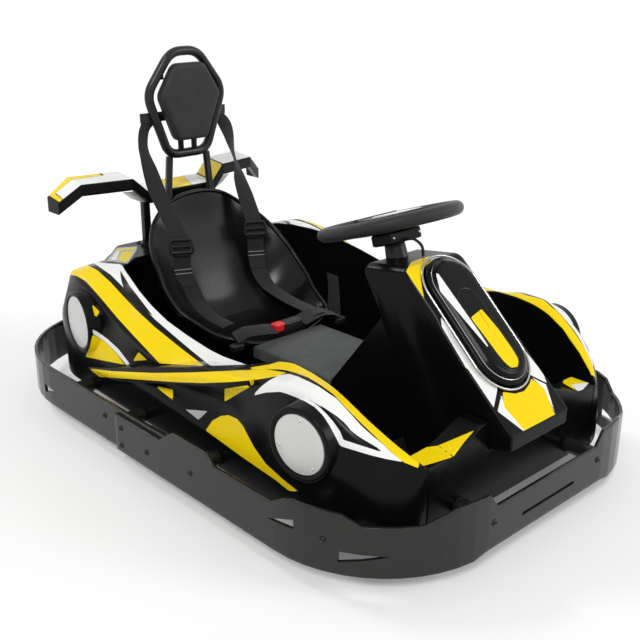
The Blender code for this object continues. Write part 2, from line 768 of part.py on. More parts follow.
def rear_deck():
    block = rim_x(HULL_REAR_Y) - DECK_BLOCK_INSET
    shelf_front = HULL_REAR_Y - DECK_SHELF_LENGTH
    inside = [station(row[0]) for row in POD_SECTIONS if shelf_front < station(row[0]) < HULL_REAR_Y]
    half = [(rim_x(y) - GAP, y) for y in (HULL_REAR_Y, *reversed(inside), shelf_front)]
    shelf = flat("rear_deck", mirrored([*half, (block, DECK_FRONT_Y)]), FLOOR_TOP + GAP, DECK_SHELF_TOP,
                 "black_plastic")
    return join(shelf, box("block", (-block, DECK_FRONT_Y, DECK_SHELF_TOP - BLADE_EDGE),
                           (block, HULL_REAR_Y, DECK_TOP)))


def chassis_frame():
    low, high = FRAME_BOTTOM, FLOOR_BOTTOM - GAP
    first, last = HULL_FRONT_Y + RAIL_FRONT_SPACE, HULL_REAR_Y - RAIL_REAR_SPACE
    half, half_bar = RAIL_WIDTH / 2, BAR_WIDTH / 2
    frame = box("chassis_frame", (-RAIL_X - half, first, low), (-RAIL_X + half, last, high), "black_steel")
    join(frame, box("rail", (RAIL_X - half, first, low), (RAIL_X + half, last, high)))
    third, fourth = (SEAT_FRONT_Y + behind for behind in BARS_BEHIND_SEAT_FRONT)
    crossed = (YOKE_Y + BAR_BEHIND_YOKE, third)
    for y in (first + BAR_FRONT_SPACE, *crossed, fourth, last - half_bar):
        join(frame, box("bar", (-RAIL_X, y - half_bar, low + BAR_INSET),
                        (RAIL_X, y + half_bar, high - BAR_INSET)))
    reach = HULL_HALF_WIDTH - OUTRIGGER_INSET
    for y in crossed:
        join(frame, box("outrigger", (-reach, y - half_bar - BAR_INSET, low + 2 * BAR_INSET),
                        (reach, y + half_bar + BAR_INSET, high)))
    return frame


# Console and what it carries.
def console():
    sections = []
    for share, crown in ((-1.0, 0.0), (-CROWN_SHARE, 1.0), (CROWN_SHARE, 1.0), (1.0, 0.0)):
        row = []
        for behind, z in CONSOLE_OUTLINE:
            half = float(np.interp(z, CONSOLE_NARROWS_Z, (CONSOLE_HALF_WIDTH_LOW, CONSOLE_HALF_WIDTH_HIGH)))
            if behind < CONSOLE_NOSE_LENGTH:
                half = CONSOLE_NOSE_HALF_WIDTH
            lift = CONSOLE_CROWN * crown if z > CONSOLE_NARROWS_Z[1] else 0.0
            row.append((share * half, CONSOLE_FRONT_Y + behind, z + lift))
        sections.append(row)
    shell = loft("console", sections, "black_plastic")
    return cut(
        shell,
        rod("well", (0, YOKE_Y, 0), (0, YOKE_Y, WHEEL_WELL_TOP), WHEEL_WELL_RADIUS, sides=40),
        rod("stem_bore", (0, YOKE_Y, FLOOR_TOP), (0, YOKE_Y, YOKE_STEM_TOP + GAP), YOKE_STEM_RADIUS + GAP),
        rod("shaft_bore", on_column(SHAFT_LOW - 3 * GAP), on_column(0), SHAFT_RADIUS + GAP),
        rod("housing_seat", on_column(HOUSING[0] - GAP), on_column(0), HOUSING_RADIUS + GAP))


def on_column(along):
    """Point on the steering column, measured up from the wheel's centre."""
    return Vector(WHEEL_CENTRE) + along * Vector((0, math.sin(COLUMN_TILT), math.cos(COLUMN_TILT)))


def on_face(across, along, lift):
    """Point on the console's sloped face, measured down it from its top."""
    (top_behind, top_z), (low_behind, low_z) = CONSOLE_FACE
    top = Vector((0, CONSOLE_FRONT_Y + top_behind, top_z + CONSOLE_CROWN))
    low = Vector((0, CONSOLE_FRONT_Y + low_behind, low_z))
    down = (low - top).normalized()
    out = Vector((0, down.z, -down.y))
    return top + down * along + out * lift + Vector((across, 0, 0))


def console_pod():
    sections = []
    for lift, half, first, last in CONSOLE_POD:
        ring = []
        for middle, start_turn in ((first + half, math.pi), (last - half, 0.0)):
            for step in range(POD_ARC_STEPS + 1):
                turn = start_turn + math.pi * step / POD_ARC_STEPS
                ring.append(on_face(half * math.cos(turn), middle + half * math.sin(turn), lift))
        sections.append(ring)
    return loft("console_pod", sections, "black_plastic")


def steering():
    lean = (-COLUMN_TILT, 0, 0)
    bpy.ops.mesh.primitive_torus_add(
        major_segments=40, minor_segments=10, major_radius=WHEEL_RIM_RADIUS,
        minor_radius=WHEEL_TUBE_RADIUS, location=WHEEL_CENTRE, rotation=lean)
    wheel = bpy.context.active_object
    wheel.name = "steering_wheel"
    move_to(wheel, "drift_kart")
    wheel.data.materials.append(material("rubber"))
    smooth(wheel)
    hub_low, hub_high = WHEEL_HUB
    join(wheel, rod("hub", on_column(hub_low), on_column(hub_high), WHEEL_HUB_RADIUS, sides=32))
    guide = bpy.data.objects.new("wheel_guide", None)
    GROUPS["cutters"].objects.link(guide)
    guide.location = WHEEL_CENTRE
    guide.rotation_euler = lean
    half, low, high = SPOKE
    for turn in SPOKE_TURNS:
        arm = box("spoke", (WHEEL_HUB_RADIUS / 2, -half, low),
                  (WHEEL_RIM_RADIUS - WHEEL_TUBE_RADIUS / 2, half, high))
        arm.parent = guide
        arm.rotation_euler = (0, 0, turn)
        join(wheel, arm)
    rod("steering_shaft", on_column(SHAFT_LOW), on_column(hub_low - GAP), SHAFT_RADIUS, "zinc")
    housing = rod("column_housing", on_column(HOUSING[0]), on_column(HOUSING[1]), HOUSING_RADIUS)
    cut(housing, rod("bore", on_column(SHAFT_LOW), on_column(0), SHAFT_RADIUS + GAP))
    return wheel


def switch_box():
    half_x, half_y, low, high = SWITCH_BOX
    made = box("switch_box", (-half_x, -half_y, low), (half_x, half_y, high))
    made.location = WHEEL_CENTRE
    made.rotation_euler = (-COLUMN_TILT, 0, 0)
    bevel(made, SWITCH_BOX_EDGE)
    return cut(made, rod("bore", on_column(SHAFT_LOW), on_column(0), SHAFT_RADIUS + GAP))


def switch_cable():
    """Short lead from the switch box's front into the console's top."""
    route = [Vector(WHEEL_CENTRE) + Vector(offset) for offset in CABLE_POINTS]
    return tube("switch_cable", spline(route, SPLINE_STEPS + 1), CABLE_RADIUS, "rubber")


# Seat, what lies ahead of it, and the harness.
def seat_half_width():
    return rim_x(SEAT_WIDEST_Y) - SEAT_ROOM


def seat_row(row):
    """Points across the seat's inner face, raised towards the flange at each side."""
    centre_y, centre_z, narrower, flange_y, flange_z = row
    half = seat_half_width() - narrower
    found = []
    for share in SEAT_SHARES:
        rise = abs(share) ** SEAT_HOLLOW
        found.append((share * half, SEAT_FRONT_Y + centre_y + (flange_y - centre_y) * rise,
                      centre_z + (flange_z - centre_z) * rise))
    return found


def seat_shell():
    return sheet("seat_shell", [seat_row(row) for row in SEAT_ROWS], SEAT_WALL, "black_plastic")


def seat_mount():
    half, first, last = SEAT_MOUNT
    return box("seat_mount", (-half, SEAT_FRONT_Y + first, FLOOR_TOP + GAP),
               (half, SEAT_FRONT_Y + last, SEAT_LOW_Z - SEAT_WALL - 2 * GAP), "black_steel")


def tunnel():
    cushion = box("tunnel_cushion", (-CUSHION_HALF_WIDTH, TUNNEL_FRONT_Y, CUSHION_BOTTOM + GAP),
                  (CUSHION_HALF_WIDTH, TUNNEL_REAR_Y, CUSHION_TOP), "foam_skin")
    bevel(cushion, CUSHION_EDGE, 2)
    box("battery", (-BATTERY_HALF_WIDTH, TUNNEL_FRONT_Y + BATTERY_SPACE, FLOOR_TOP + GAP),
        (BATTERY_HALF_WIDTH, TUNNEL_REAR_Y - BATTERY_SPACE, CUSHION_BOTTOM), "battery_case")
    box("buckle", (-BUCKLE_HALF_WIDTH, TUNNEL_REAR_Y - BUCKLE_SPACE[0], CUSHION_TOP + GAP),
        (BUCKLE_HALF_WIDTH, TUNNEL_REAR_Y - BUCKLE_SPACE[1], CUSHION_TOP + BUCKLE_HEIGHT), "red_plastic")


def ribbon(name, points, acrosses, width):
    rows = [[point - across * width / 2 for point, across in zip(points, acrosses)],
            [point + across * width / 2 for point, across in zip(points, acrosses)]]
    return sheet(name, rows, STRAP_THICKNESS, "webbing", offset=0.0)


def harness():
    half = seat_half_width()
    shoulder = [*STRAP_HANGING, *((half * row[0], *row[1:]) for row in STRAP_IN_SEAT)]
    for side in (-1, 1):
        route = [(side * x, SEAT_FRONT_Y + y, z) for x, y, z, _right, _left in shoulder]
        turns = [(row[3] if side < 0 else row[4], 0, 0) for row in shoulder]
        angles = [math.radians(turn.x) for turn in spline(turns, SPLINE_STEPS)]
        acrosses = [Vector((math.cos(angle), math.sin(angle), 0)) for angle in angles]
        ribbon("shoulder_strap_" + side_word(side), spline(route, SPLINE_STEPS), acrosses, STRAP_WIDTH)
        route = [(side * half * share, SEAT_FRONT_Y + y, z) for share, y, z in LAP_BELT]
        route.append((side * (BUCKLE_HALF_WIDTH + GAP), TUNNEL_REAR_Y - sum(BUCKLE_SPACE) / 2,
                      CUSHION_TOP + BUCKLE_HEIGHT / 2))
        points = spline(route, SPLINE_STEPS)
        lean = Vector(LAP_BELT_LEAN).normalized()
        ribbon("lap_belt_" + side_word(side), points, [lean] * len(points), LAP_BELT_WIDTH)


def headrest():
    ring = rounded(mirrored(list(HEADREST_RING)), RING_ROUNDING)
    frame = as_mesh(tube("headrest_frame", [(x, HEADREST_Y, z) for x, z in ring],
                         HEADREST_BAR_RADIUS, closed=True))
    smooth(frame)
    back = HEADREST_Y + HEADREST_BAR_RADIUS
    half, thickness, low, high = STRAP_PLATE
    join(frame, box("strap_plate", (-half, back - thickness / 3, low), (half, back + thickness * 2 / 3, high)))
    ring_low = HEADREST_RING[-1][1]
    tab_half, tab_thin = PAD_TAB
    for side in (-1, 1):
        top_x, foot_x = POST_SPREAD
        join(frame,
             rod("post", (side * top_x, HEADREST_Y, ring_low - HEADREST_BAR_RADIUS / 2),
                 (side * foot_x, HEADREST_Y, DECK_TOP + FOOT_HEIGHT / 2), HEADREST_BAR_RADIUS, sides=12),
             rod("post_foot", (side * foot_x, HEADREST_Y, DECK_TOP + GAP),
                 (side * foot_x, HEADREST_Y, DECK_TOP + FOOT_HEIGHT), POST_FOOT_RADIUS, sides=16),
             box("pad_tab", (side * PAD_TABS_X - tab_half, HEADREST_Y - tab_thin, ring_low),
                 (side * PAD_TABS_X + tab_half, HEADREST_Y + tab_thin, HEADREST_PAD[-1][1] + tab_half)))
        for x, z in PAD_SIDE_TABS:
            join(frame, box("side_tab", (side * x - 2 * tab_half, HEADREST_Y - tab_thin, z - tab_half),
                            (side * x + 2 * tab_half, HEADREST_Y + tab_thin, z + tab_half)))
    pad_back = HEADREST_Y - PAD_GAP
    pad = flat("headrest_pad", rounded(mirrored(list(HEADREST_PAD)), PAD_ROUNDING, 2),
               pad_back - PAD_THICKNESS, pad_back, "foam_skin", upright=True)
    bevel(pad, PAD_EDGE, 2)
    return frame


def wing():
    half = [(x, DECK_FRONT_Y + behind, z, depth) for x, behind, z, depth in WING]
    places = [(-x, y, z, depth) for x, y, z, depth in reversed(half[1:])] + half
    lip, fold = WING_LIP
    rise, thin = WING_RISE
    rows = []
    for x, y, z, depth in places:
        rows.append([(x, y, z), (x, y + depth, z + rise), (x, y + depth, z + thin),
                     (x, y + fold, z - WING_SKIN), (x, y + lip, z - WING_FASCIA), (x, y, z - WING_FASCIA)])
    made = loft("wing", rows, "black_plastic")
    for side in (-1, 1):
        x = side * (rim_x(HULL_REAR_Y) - DECK_BLOCK_INSET - WING_POST_INSET)
        join(made,
             rod("post", (x, WING_POST_Y, DECK_TOP + FOOT_HEIGHT / 2), (x, WING_POST_Y, WING_POST_TOP),
                 WING_POST_RADIUS, sides=16),
             rod("foot", (x, WING_POST_Y, DECK_TOP + GAP), (x, WING_POST_Y, DECK_TOP + FOOT_HEIGHT),
                 WING_FOOT_RADIUS, sides=20))
    return made


def pedals():
    base_half, base_depth, base_height = PEDAL_BASE
    plate_half, plate_reach, plate_thin = PEDAL_PLATE
    arm_half, arm_depth, arm_height = PEDAL_ARM
    middle_y = HULL_FRONT_Y + PEDAL_SPACE
    plate_y = middle_y - base_depth / 2 + arm_depth
    for side in (-1, 1):
        x = side * PEDAL_X
        pedal = box("pedal_" + side_word(side),
                    (x - base_half, middle_y - base_depth / 2, FLOOR_TOP + GAP),
                    (x + base_half, middle_y + base_depth / 2, FLOOR_TOP + base_height), "black_steel")
        plate = box("plate", (-plate_half, -plate_reach, -plate_thin), (plate_half, plate_reach, plate_thin))
        plate.location = (x, plate_y, FLOOR_TOP + PEDAL_HEIGHT)
        plate.rotation_euler = (PEDAL_TILT, 0, 0)
        arm = box("arm", (x - arm_half, plate_y - arm_half, FLOOR_TOP + base_height / 2),
                  (x + arm_half, plate_y + arm_half, FLOOR_TOP + arm_height))
        join(pedal, plate, arm)


# Running gear.
def turned(name, profile, centre, colour, sides):
    """Ring about an axle along X: profile of radius and distance along the axle."""
    shape = bmesh.new()
    verts = [shape.verts.new((radius, 0, along)) for radius, along in profile]
    for i in range(len(verts)):
        shape.edges.new((verts[i], verts[(i + 1) % len(verts)]))
    data = bpy.data.meshes.new(name)
    shape.to_mesh(data)
    shape.free()
    thing = add_object(name, data, colour)
    screw = thing.modifiers.new("turn", "SCREW")
    screw.steps = sides
    screw.render_steps = sides
    screw.use_merge_vertices = True
    screw.merge_threshold = 0.0001
    screw.use_smooth_shade = False
    thing.location = centre
    thing.rotation_euler = (0, math.pi / 2, 0)
    return thing


def drive_unit():
    half = DRIVE_WIDTH / 2
    axle_z = DRIVE_RADIUS
    leg_x = half + RUNNING_GAP
    crown_z = DRIVE_RADIUS * 2 + RUNNING_GAP
    sunk = YOKE_LEG / 4
    yoke = box("yoke", (-leg_x - YOKE_LEG, YOKE_Y - YOKE_DEPTH, crown_z),
               (leg_x + YOKE_LEG, YOKE_Y + YOKE_DEPTH, crown_z + YOKE_LEG), "black_steel")
    leg_depth = YOKE_DEPTH - sunk
    for side in (-1, 1):
        inner, outer = sorted((side * leg_x, side * (leg_x + YOKE_LEG)))
        join(yoke, box("leg", (inner, YOKE_Y - leg_depth, axle_z - leg_depth),
                       (outer, YOKE_Y + leg_depth, crown_z + sunk)))
    join(yoke,
         rod("stem", (0, YOKE_Y, crown_z + sunk), (0, YOKE_Y, YOKE_STEM_TOP), YOKE_STEM_RADIUS),
         rod("axle", (-leg_x - sunk, YOKE_Y, axle_z), (leg_x + sunk, YOKE_Y, axle_z), AXLE_RADIUS, sides=16))
    drop, run = TREAD_CHAMFER
    seat = RIM_RADIUS + GAP
    turned("drive_tyre",
           ((DRIVE_RADIUS - drop, half), (DRIVE_RADIUS, half - run), (DRIVE_RADIUS, run - half),
            (DRIVE_RADIUS - drop, -half), (seat, -half), (seat, half)),
           (0, YOKE_Y, axle_z), "rubber", 48)
    bore = AXLE_RADIUS + GAP
    rim_half, hub_half = half - 2 * HUB_PROUD, half + HUB_PROUD
    turned("hub_motor",
           ((RIM_RADIUS, rim_half), (RIM_RADIUS, -rim_half), (HUB_RADIUS, -hub_half), (bore, -hub_half),
            (bore, hub_half), (HUB_RADIUS, hub_half)),
           (0, YOKE_Y, axle_z), "zinc", 40)
    return yoke


def caster(word, x, y, top, radius, width, trail):
    """Swivelling fork with its wheel, the wheel trailing towards +Y."""
    axle_y = y + trail
    half = width / 2
    leg = half + CASTER_SIDE_GAP
    outer = leg + CASTER_LEG
    crown_z = radius * 2 + CASTER_CROWN_GAP
    sunk = CASTER_LEG / 3
    fork = box("caster_fork_" + word, (x - outer, y - CASTER_RACE_RADIUS - sunk, crown_z),
               (x + outer, axle_y + CASTER_LEG, crown_z + CASTER_LEG), "zinc")
    for side in (-1, 1):
        low_x, high_x = sorted((x + side * leg, x + side * outer))
        join(fork, box("leg", (low_x, axle_y - CASTER_LEG_DEPTH, radius - CASTER_LEG_DEPTH),
                       (high_x, axle_y + CASTER_LEG_DEPTH, crown_z + sunk)))
    join(fork,
         rod("axle", (x - leg - sunk, axle_y, radius), (x + leg + sunk, axle_y, radius),
             CASTER_AXLE_RADIUS, sides=16),
         rod("race", (x, y, crown_z + sunk), (x, y, top - GAP), CASTER_RACE_RADIUS))
    bore = CASTER_AXLE_RADIUS + GAP
    turned("caster_wheel_" + word,
           ((radius, half - CASTER_TREAD_CHAMFER), (radius, CASTER_TREAD_CHAMFER - half),
            (radius - CASTER_TREAD_CHAMFER, -half), (bore, -half), (bore, half),
            (radius - CASTER_TREAD_CHAMFER, half)),
           (x, axle_y, radius), "rubber", 32)
    return fork


def casters():
    for place, (radius, width, trail, inset, y) in CASTERS.items():
        x = HULL_HALF_WIDTH - inset
        under_floor = x < rim_x(y)
        top = FLOOR_BOTTOM if under_floor else base_z(y - CASTER_RACE_RADIUS)
        for side in (-1, 1):
            caster(f"{place}_{side_word(side)}", side * x, y, top, radius, width, trail)


def build_all():
    bumper()
    for side in (-1, 1):
        side_pod(side)
    disc_covers()
    floor_pan()
    front_cowl()
    rear_deck()
    chassis_frame()
    console()
    console_pod()
    steering()
    switch_box()
    switch_cable()
    seat_shell()
    seat_mount()
    tunnel()
    harness()
    headrest()
    wing()
    pedals()
    drive_unit()
    casters()


build_all()
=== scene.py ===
# %% [markdown]
# # Electric drift kart
# A low kart with a bumper ring, painted side pods, a bucket seat, a harness, a head
# rest and a sloped console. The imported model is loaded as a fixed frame, and each
# part that the eye meets gets a finer surface over it, worked out with numpy.

# %% Load the frame
import math

import bmesh
import bpy
import numpy as np
from mathutils import Matrix, Vector


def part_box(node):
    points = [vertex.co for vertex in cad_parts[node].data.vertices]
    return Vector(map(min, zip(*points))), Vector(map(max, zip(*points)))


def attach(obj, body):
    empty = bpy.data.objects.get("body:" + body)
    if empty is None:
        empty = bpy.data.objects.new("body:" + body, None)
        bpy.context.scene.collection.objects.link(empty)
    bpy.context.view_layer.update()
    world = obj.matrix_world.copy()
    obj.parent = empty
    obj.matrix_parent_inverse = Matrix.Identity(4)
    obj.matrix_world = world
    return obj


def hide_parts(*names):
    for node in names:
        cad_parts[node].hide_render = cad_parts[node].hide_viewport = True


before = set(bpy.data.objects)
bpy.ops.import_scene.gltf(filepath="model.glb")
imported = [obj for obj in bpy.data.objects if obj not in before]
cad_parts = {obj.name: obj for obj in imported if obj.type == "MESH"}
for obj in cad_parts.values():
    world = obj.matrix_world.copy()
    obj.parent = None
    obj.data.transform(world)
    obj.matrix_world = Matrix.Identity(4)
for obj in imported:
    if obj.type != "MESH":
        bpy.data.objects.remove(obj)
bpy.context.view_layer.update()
print("nodes in the frame:", len(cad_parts))

# %% [markdown]
# The camera comes first, because the stripes on the body are drawn through it. It
# stands ahead of the kart's right side, a little above the steering wheel, with a
# long lens. Its three axes are written out, so that a point in space can also be
# turned into a place in the picture with plain numpy.

# %% Camera
PICTURE = 640
FOCAL = 959.983
CAMERA_PLACE = np.array((-1.6083065, -1.7674228, 1.1883559))
CAMERA_RIGHT = np.array((0.7289365, -0.6845724, 0.0034822))
CAMERA_UP = np.array((0.2388390, 0.2590776, 0.9358604))
CAMERA_AHEAD = np.array((0.6415664, 0.6813511, -0.3523537))
SENSOR = 36.0

camera_data = bpy.data.cameras.new("camera")
camera_data.sensor_width = SENSOR
camera_data.lens = FOCAL / PICTURE * SENSOR
camera = bpy.data.objects.new("camera", camera_data)
bpy.context.scene.collection.objects.link(camera)
axes = np.eye(4)
axes[:3, 0], axes[:3, 1], axes[:3, 2] = CAMERA_RIGHT, CAMERA_UP, -CAMERA_AHEAD
axes[:3, 3] = CAMERA_PLACE
camera.matrix_world = Matrix(axes.tolist())
bpy.context.scene.camera = camera
bpy.context.scene.view_settings.view_transform = "Standard"


def seen_at(points):
    """Place in the picture: sideways and upwards distance over depth, times the focal length."""
    away = points - CAMERA_PLACE
    depth = away @ CAMERA_AHEAD
    return np.stack((PICTURE / 2 + FOCAL * (away @ CAMERA_RIGHT) / depth,
                     PICTURE / 2 - FOCAL * (away @ CAMERA_UP) / depth), axis=-1)


print("lens:", round(camera_data.lens, 2))

# %% [markdown]
# A studio for a dark, glossy object is a pale room with large soft lamps. Sun lamps
# light the floor evenly all the way to the horizon, and the wider a lamp looks, the
# softer its shadow. The camera and the gloss see the room as white, while the light
# that it casts on the kart stays at a plain level.

# %% Room and lamps
ROOM_LIGHT = 0.46
# Name, direction from the kart, how wide it looks in degrees, strength.
LAMPS = (
    ("key lamp", (-1.6, -1.1, 2.0), 14, 1.30),
    ("front lamp", (1.2, -1.55, 0.90), 24, 0.80),
    ("rear lamp", (-0.4, 2.2, 2.0), 12, 0.45),
)

world = bpy.data.worlds.new("pale room")
bpy.context.scene.world = world
world.use_nodes = True
nodes, links = world.node_tree.nodes, world.node_tree.links
rays = nodes.new("ShaderNodeLightPath")
seen = rays.outputs["Is Camera Ray"]
for kind in ("Glossy", "Transmission"):
    either = nodes.new("ShaderNodeMath")
    either.operation = "MAXIMUM"
    links.new(seen, either.inputs[0])
    links.new(rays.outputs[f"Is {kind} Ray"], either.inputs[1])
    seen = either.outputs[0]
strength = nodes.new("ShaderNodeMapRange")
strength.inputs["To Min"].default_value = ROOM_LIGHT
strength.inputs["To Max"].default_value = 1.0
links.new(seen, strength.inputs["Value"])
links.new(strength.outputs["Result"], nodes["Background"].inputs["Strength"])
nodes["Background"].inputs["Color"].default_value = (1.0, 1.0, 1.0, 1.0)

for name, toward, width, power in LAMPS:
    lamp = bpy.data.lights.new(name, "SUN")
    lamp.angle = math.radians(width)
    lamp.energy = power
    holder = bpy.data.objects.new(name, lamp)
    holder.location = toward
    holder.rotation_euler = Vector(toward).to_track_quat("Z", "Y").to_euler()
    bpy.context.scene.collection.objects.link(holder)
print("lamps:", len(LAMPS))

# %% [markdown]
# Shader sums read best as sums. One small class wraps a socket, and an expression on
# two of them adds the Math node that works it out. A second class holds a material
# while it is being made, with a method for each kind of node that the finishes need.


# %% Values that add nodes
class Value:
    """One socket of a material, or a sum of sockets."""

    def __init__(self, maker, socket):
        self.maker, self.socket = maker, socket

    def join(self, operation, first, second):
        return self.maker.node("ShaderNodeMath", {"operation": operation}, {0: first, 1: second})

    def __add__(self, other):
        return self.join("ADD", self, other)

    def __mul__(self, other):
        return self.join("MULTIPLY", self, other)

    __radd__ = __add__
    __rmul__ = __mul__


class Finish:
    """One material under construction."""

    def __init__(self, name, colour, roughness, metallic=0.0, gloss=0.5, **plain):
        self.material = bpy.data.materials.new(name)
        self.material.use_nodes = True
        self.tree = self.material.node_tree
        self.shader = self.tree.nodes["Principled BSDF"]
        self.colour = (*colour, 1.0)
        self.shader.inputs["Base Color"].default_value = self.colour
        self.shader.inputs["Roughness"].default_value = roughness
        self.shader.inputs["Metallic"].default_value = metallic
        self.shader.inputs["Specular IOR Level"].default_value = gloss
        for socket, amount in plain.items():
            self.shader.inputs[socket.replace("_", " ").title()].default_value = amount

    def node(self, kind, settings=None, sockets=None, output=0):
        made = self.tree.nodes.new(kind)
        for key, setting in (settings or {}).items():
            setattr(made, key, setting)
        for key, value in (sockets or {}).items():
            self.feed(made.inputs[key], value)
        return Value(self, made.outputs[output])

    def feed(self, socket, value):
        if isinstance(value, Value):
            self.tree.links.new(value.socket, socket)
        else:
            socket.default_value = value

    def give(self, **sockets):
        for name, value in sockets.items():
            self.feed(self.shader.inputs[name.replace("_", " ").title()], value)

    def mix(self, share, first, second):
        return self.node("ShaderNodeMix", {"data_type": "RGBA"}, {0: share, 6: first, 7: second}, 2)

    def place(self):
        return self.node("ShaderNodeTexCoord", output="Object")

    def noise(self, scale, detail=3.0, where=None):
        return self.node("ShaderNodeTexNoise", None,
                         {"Vector": where or self.place(), "Scale": scale, "Detail": detail})

    def between(self, value, low, high):
        """Spreads values from low to high over 0 to 1, and holds them there."""
        return self.node("ShaderNodeMapRange", None, {0: value, 1: low, 2: high})

    def bump(self, height, distance, strength=1.0, under=None):
        sockets = {"Height": height, "Distance": distance, "Strength": strength}
        if under:
            sockets["Normal"] = under
        return self.node("ShaderNodeBump", None, sockets)

    def attribute(self, name):
        return self.node("ShaderNodeAttribute", {"attribute_name": name}, output="Fac")


def shaded(colour, times, plus=0.0):
    """The same colour, brighter or darker, with a full alpha."""
    return (*(part * times + plus for part in colour[:3]), 1.0)


print("a plain plastic is Finish(name, colour, roughness)")

# %% [markdown]
# The body is moulded black plastic with printed film in yellow, white, black and
# silver. An image would need a texture, so each painted mesh carries, for every
# colour, its distance inside the film's outline. Where that distance passes zero the
# colour changes, so an edge stays sharp, and the same distance raises the film a
# tenth of a millimetre.

# %% Painted plastic
YELLOW = (0.96, 0.70, 0.006, 1.0)
WHITE = (0.91, 0.92, 0.90, 1.0)
BLACK = (0.0030, 0.0031, 0.0033, 1.0)
SILVER = (0.46, 0.47, 0.46, 1.0)
# A film lies over those before it.
FILMS = {"silver": SILVER, "yellow": YELLOW, "white": WHITE, "black": BLACK}
EDGE_WIDTH = 0.0005
FILM_THICKNESS = 0.0001


def body_plastic(name, colour, roughness, films):
    """Black plastic with a fine moulded grain, patches of dust, and printed films."""
    made = Finish(name, colour, roughness, gloss=0.11)
    dust = made.between(made.noise(9.0, 3.0), 0.45, 0.8)
    shade = made.mix(dust * 0.3, made.colour, shaded(colour, 1.5, 0.001))
    grain = made.noise(900.0, 2.0)
    covered = 0.0
    for film in films:
        inside = made.between(made.attribute(film), -EDGE_WIDTH, EDGE_WIDTH)
        worn = made.mix(dust * 0.04, FILMS[film], shaded(FILMS[film], 0.8))
        shade = made.mix(inside, shade, worn)
        covered = inside + covered if film != films[0] else inside
    lowered = made.bump(grain, 0.00005, 0.15)
    if films:
        lowered = made.bump(covered, FILM_THICKNESS, 0.6, lowered)
    scuff = made.between(made.noise(16.0, 3.0), 0.35, 0.75)
    made.give(base_color=shade, roughness=scuff * 0.06 + (roughness - 0.02), normal=lowered)
    return made.material


painted = body_plastic("painted plastic", BLACK[:3], 0.26, tuple(FILMS))
print("films:", ", ".join(FILMS))

# %% [markdown]
# The other finishes: the bumper's extruded strip with fine scratches along it, the
# seat's polished shell, powder coat with its orange peel, woven webbing, the grained
# skin of foam pads, zinc plating, rubber and the grey covers.


# %% Other finishes
def scratched(name, colour, roughness, gloss=0.5, squeeze=1.0, depth=0.0001):
    """Plastic with hairline scratches: noise, squeezed in height where they run along a strip."""
    made = Finish(name, colour, roughness, gloss=gloss)
    where = made.node("ShaderNodeMapping", None, {"Vector": made.place(), "Scale": (1.0, 1.0, squeeze)})
    lines = made.noise(60.0, 8.0, where)
    cloud = made.between(made.noise(5.0, 4.0), 0.3, 0.8)
    made.give(base_color=made.mix(cloud * 0.4, made.colour, shaded(colour, 1.4, 0.001)),
              roughness=lines * 0.10 + (roughness - 0.05), normal=made.bump(lines, depth, 0.2))
    return made.material


def coated_steel(name, colour, roughness, metallic=0.0):
    """Powder coat: small round lumps of two sizes."""
    made = Finish(name, colour, roughness, metallic, gloss=0.3)
    peel = made.noise(420.0, 2.0)
    wear = made.between(made.noise(26.0, 6.0), 0.4, 0.8)
    made.give(base_color=made.mix(wear * 0.3, made.colour, shaded(colour, 1.4, 0.002)),
              roughness=wear * 0.12 + (roughness - 0.06), normal=made.bump(peel, 0.00025, 0.3))
    return made.material


def plated(name, colour, roughness):
    """Zinc plating: cloudy, brighter and duller in patches."""
    made = Finish(name, colour, roughness, 1.0)
    cloud = made.between(made.noise(30.0, 6.0), 0.3, 0.75)
    made.give(base_color=made.mix(cloud, made.colour, shaded(colour, 0.7)),
              roughness=cloud * 0.2 + (roughness - 0.08), normal=made.bump(made.noise(260.0), 0.0001, 0.3))
    return made.material


def grained_skin(name, colour, roughness):
    """Foam skin: a leather grain of small cells over a soft unevenness."""
    made = Finish(name, colour, roughness, gloss=0.3, sheen_weight=0.06)
    cells = made.node("ShaderNodeTexVoronoi", {"feature": "DISTANCE_TO_EDGE"},
                      {"Vector": made.place(), "Scale": 620.0})
    soft = made.noise(24.0, 4.0)
    wrinkle = made.bump(soft, 0.0012, 0.35)
    made.give(base_color=made.mix(made.between(soft, 0.35, 0.7), made.colour, shaded(colour, 1.35, 0.004)),
              roughness=soft * 0.14 + (roughness - 0.07),
              normal=made.bump(made.between(cells, 0.0, 0.12), 0.00022, 0.5, wrinkle))
    return made.material


RIB_PITCH = 0.0016
# A wave texture repeats about every 0.32 units at a scale of 1. The warp is coarser.
WAVE_LENGTH = 0.32
WARP_COARSER = 1.6


def woven(name, colour):
    """Webbing: ribs across and along the band, read from its own UV map in metres."""
    made = Finish(name, colour, 0.72, gloss=0.3, sheen_weight=0.1, sheen_roughness=0.5)
    along = made.node("ShaderNodeTexCoord", output="UV")
    scale = WAVE_LENGTH / RIB_PITCH
    ribs = made.node("ShaderNodeTexWave", {"wave_type": "BANDS", "bands_direction": "Y"},
                     {"Vector": along, "Scale": scale, "Distortion": 0.4, "Detail Scale": 2.0}, 1)
    warp = made.node("ShaderNodeTexWave", {"wave_type": "BANDS", "bands_direction": "X"},
                     {"Vector": along, "Scale": scale / WARP_COARSER}, 1)
    weave = ribs * 0.65 + warp * 0.35
    fuzz = made.noise(70.0, 5.0)
    made.give(base_color=made.mix(weave * 0.5 + fuzz * 0.35, made.colour, shaded(colour, 1.8, 0.004)),
              roughness=fuzz * 0.12 + 0.74, normal=made.bump(weave, 0.0004, 0.7))
    return made.material


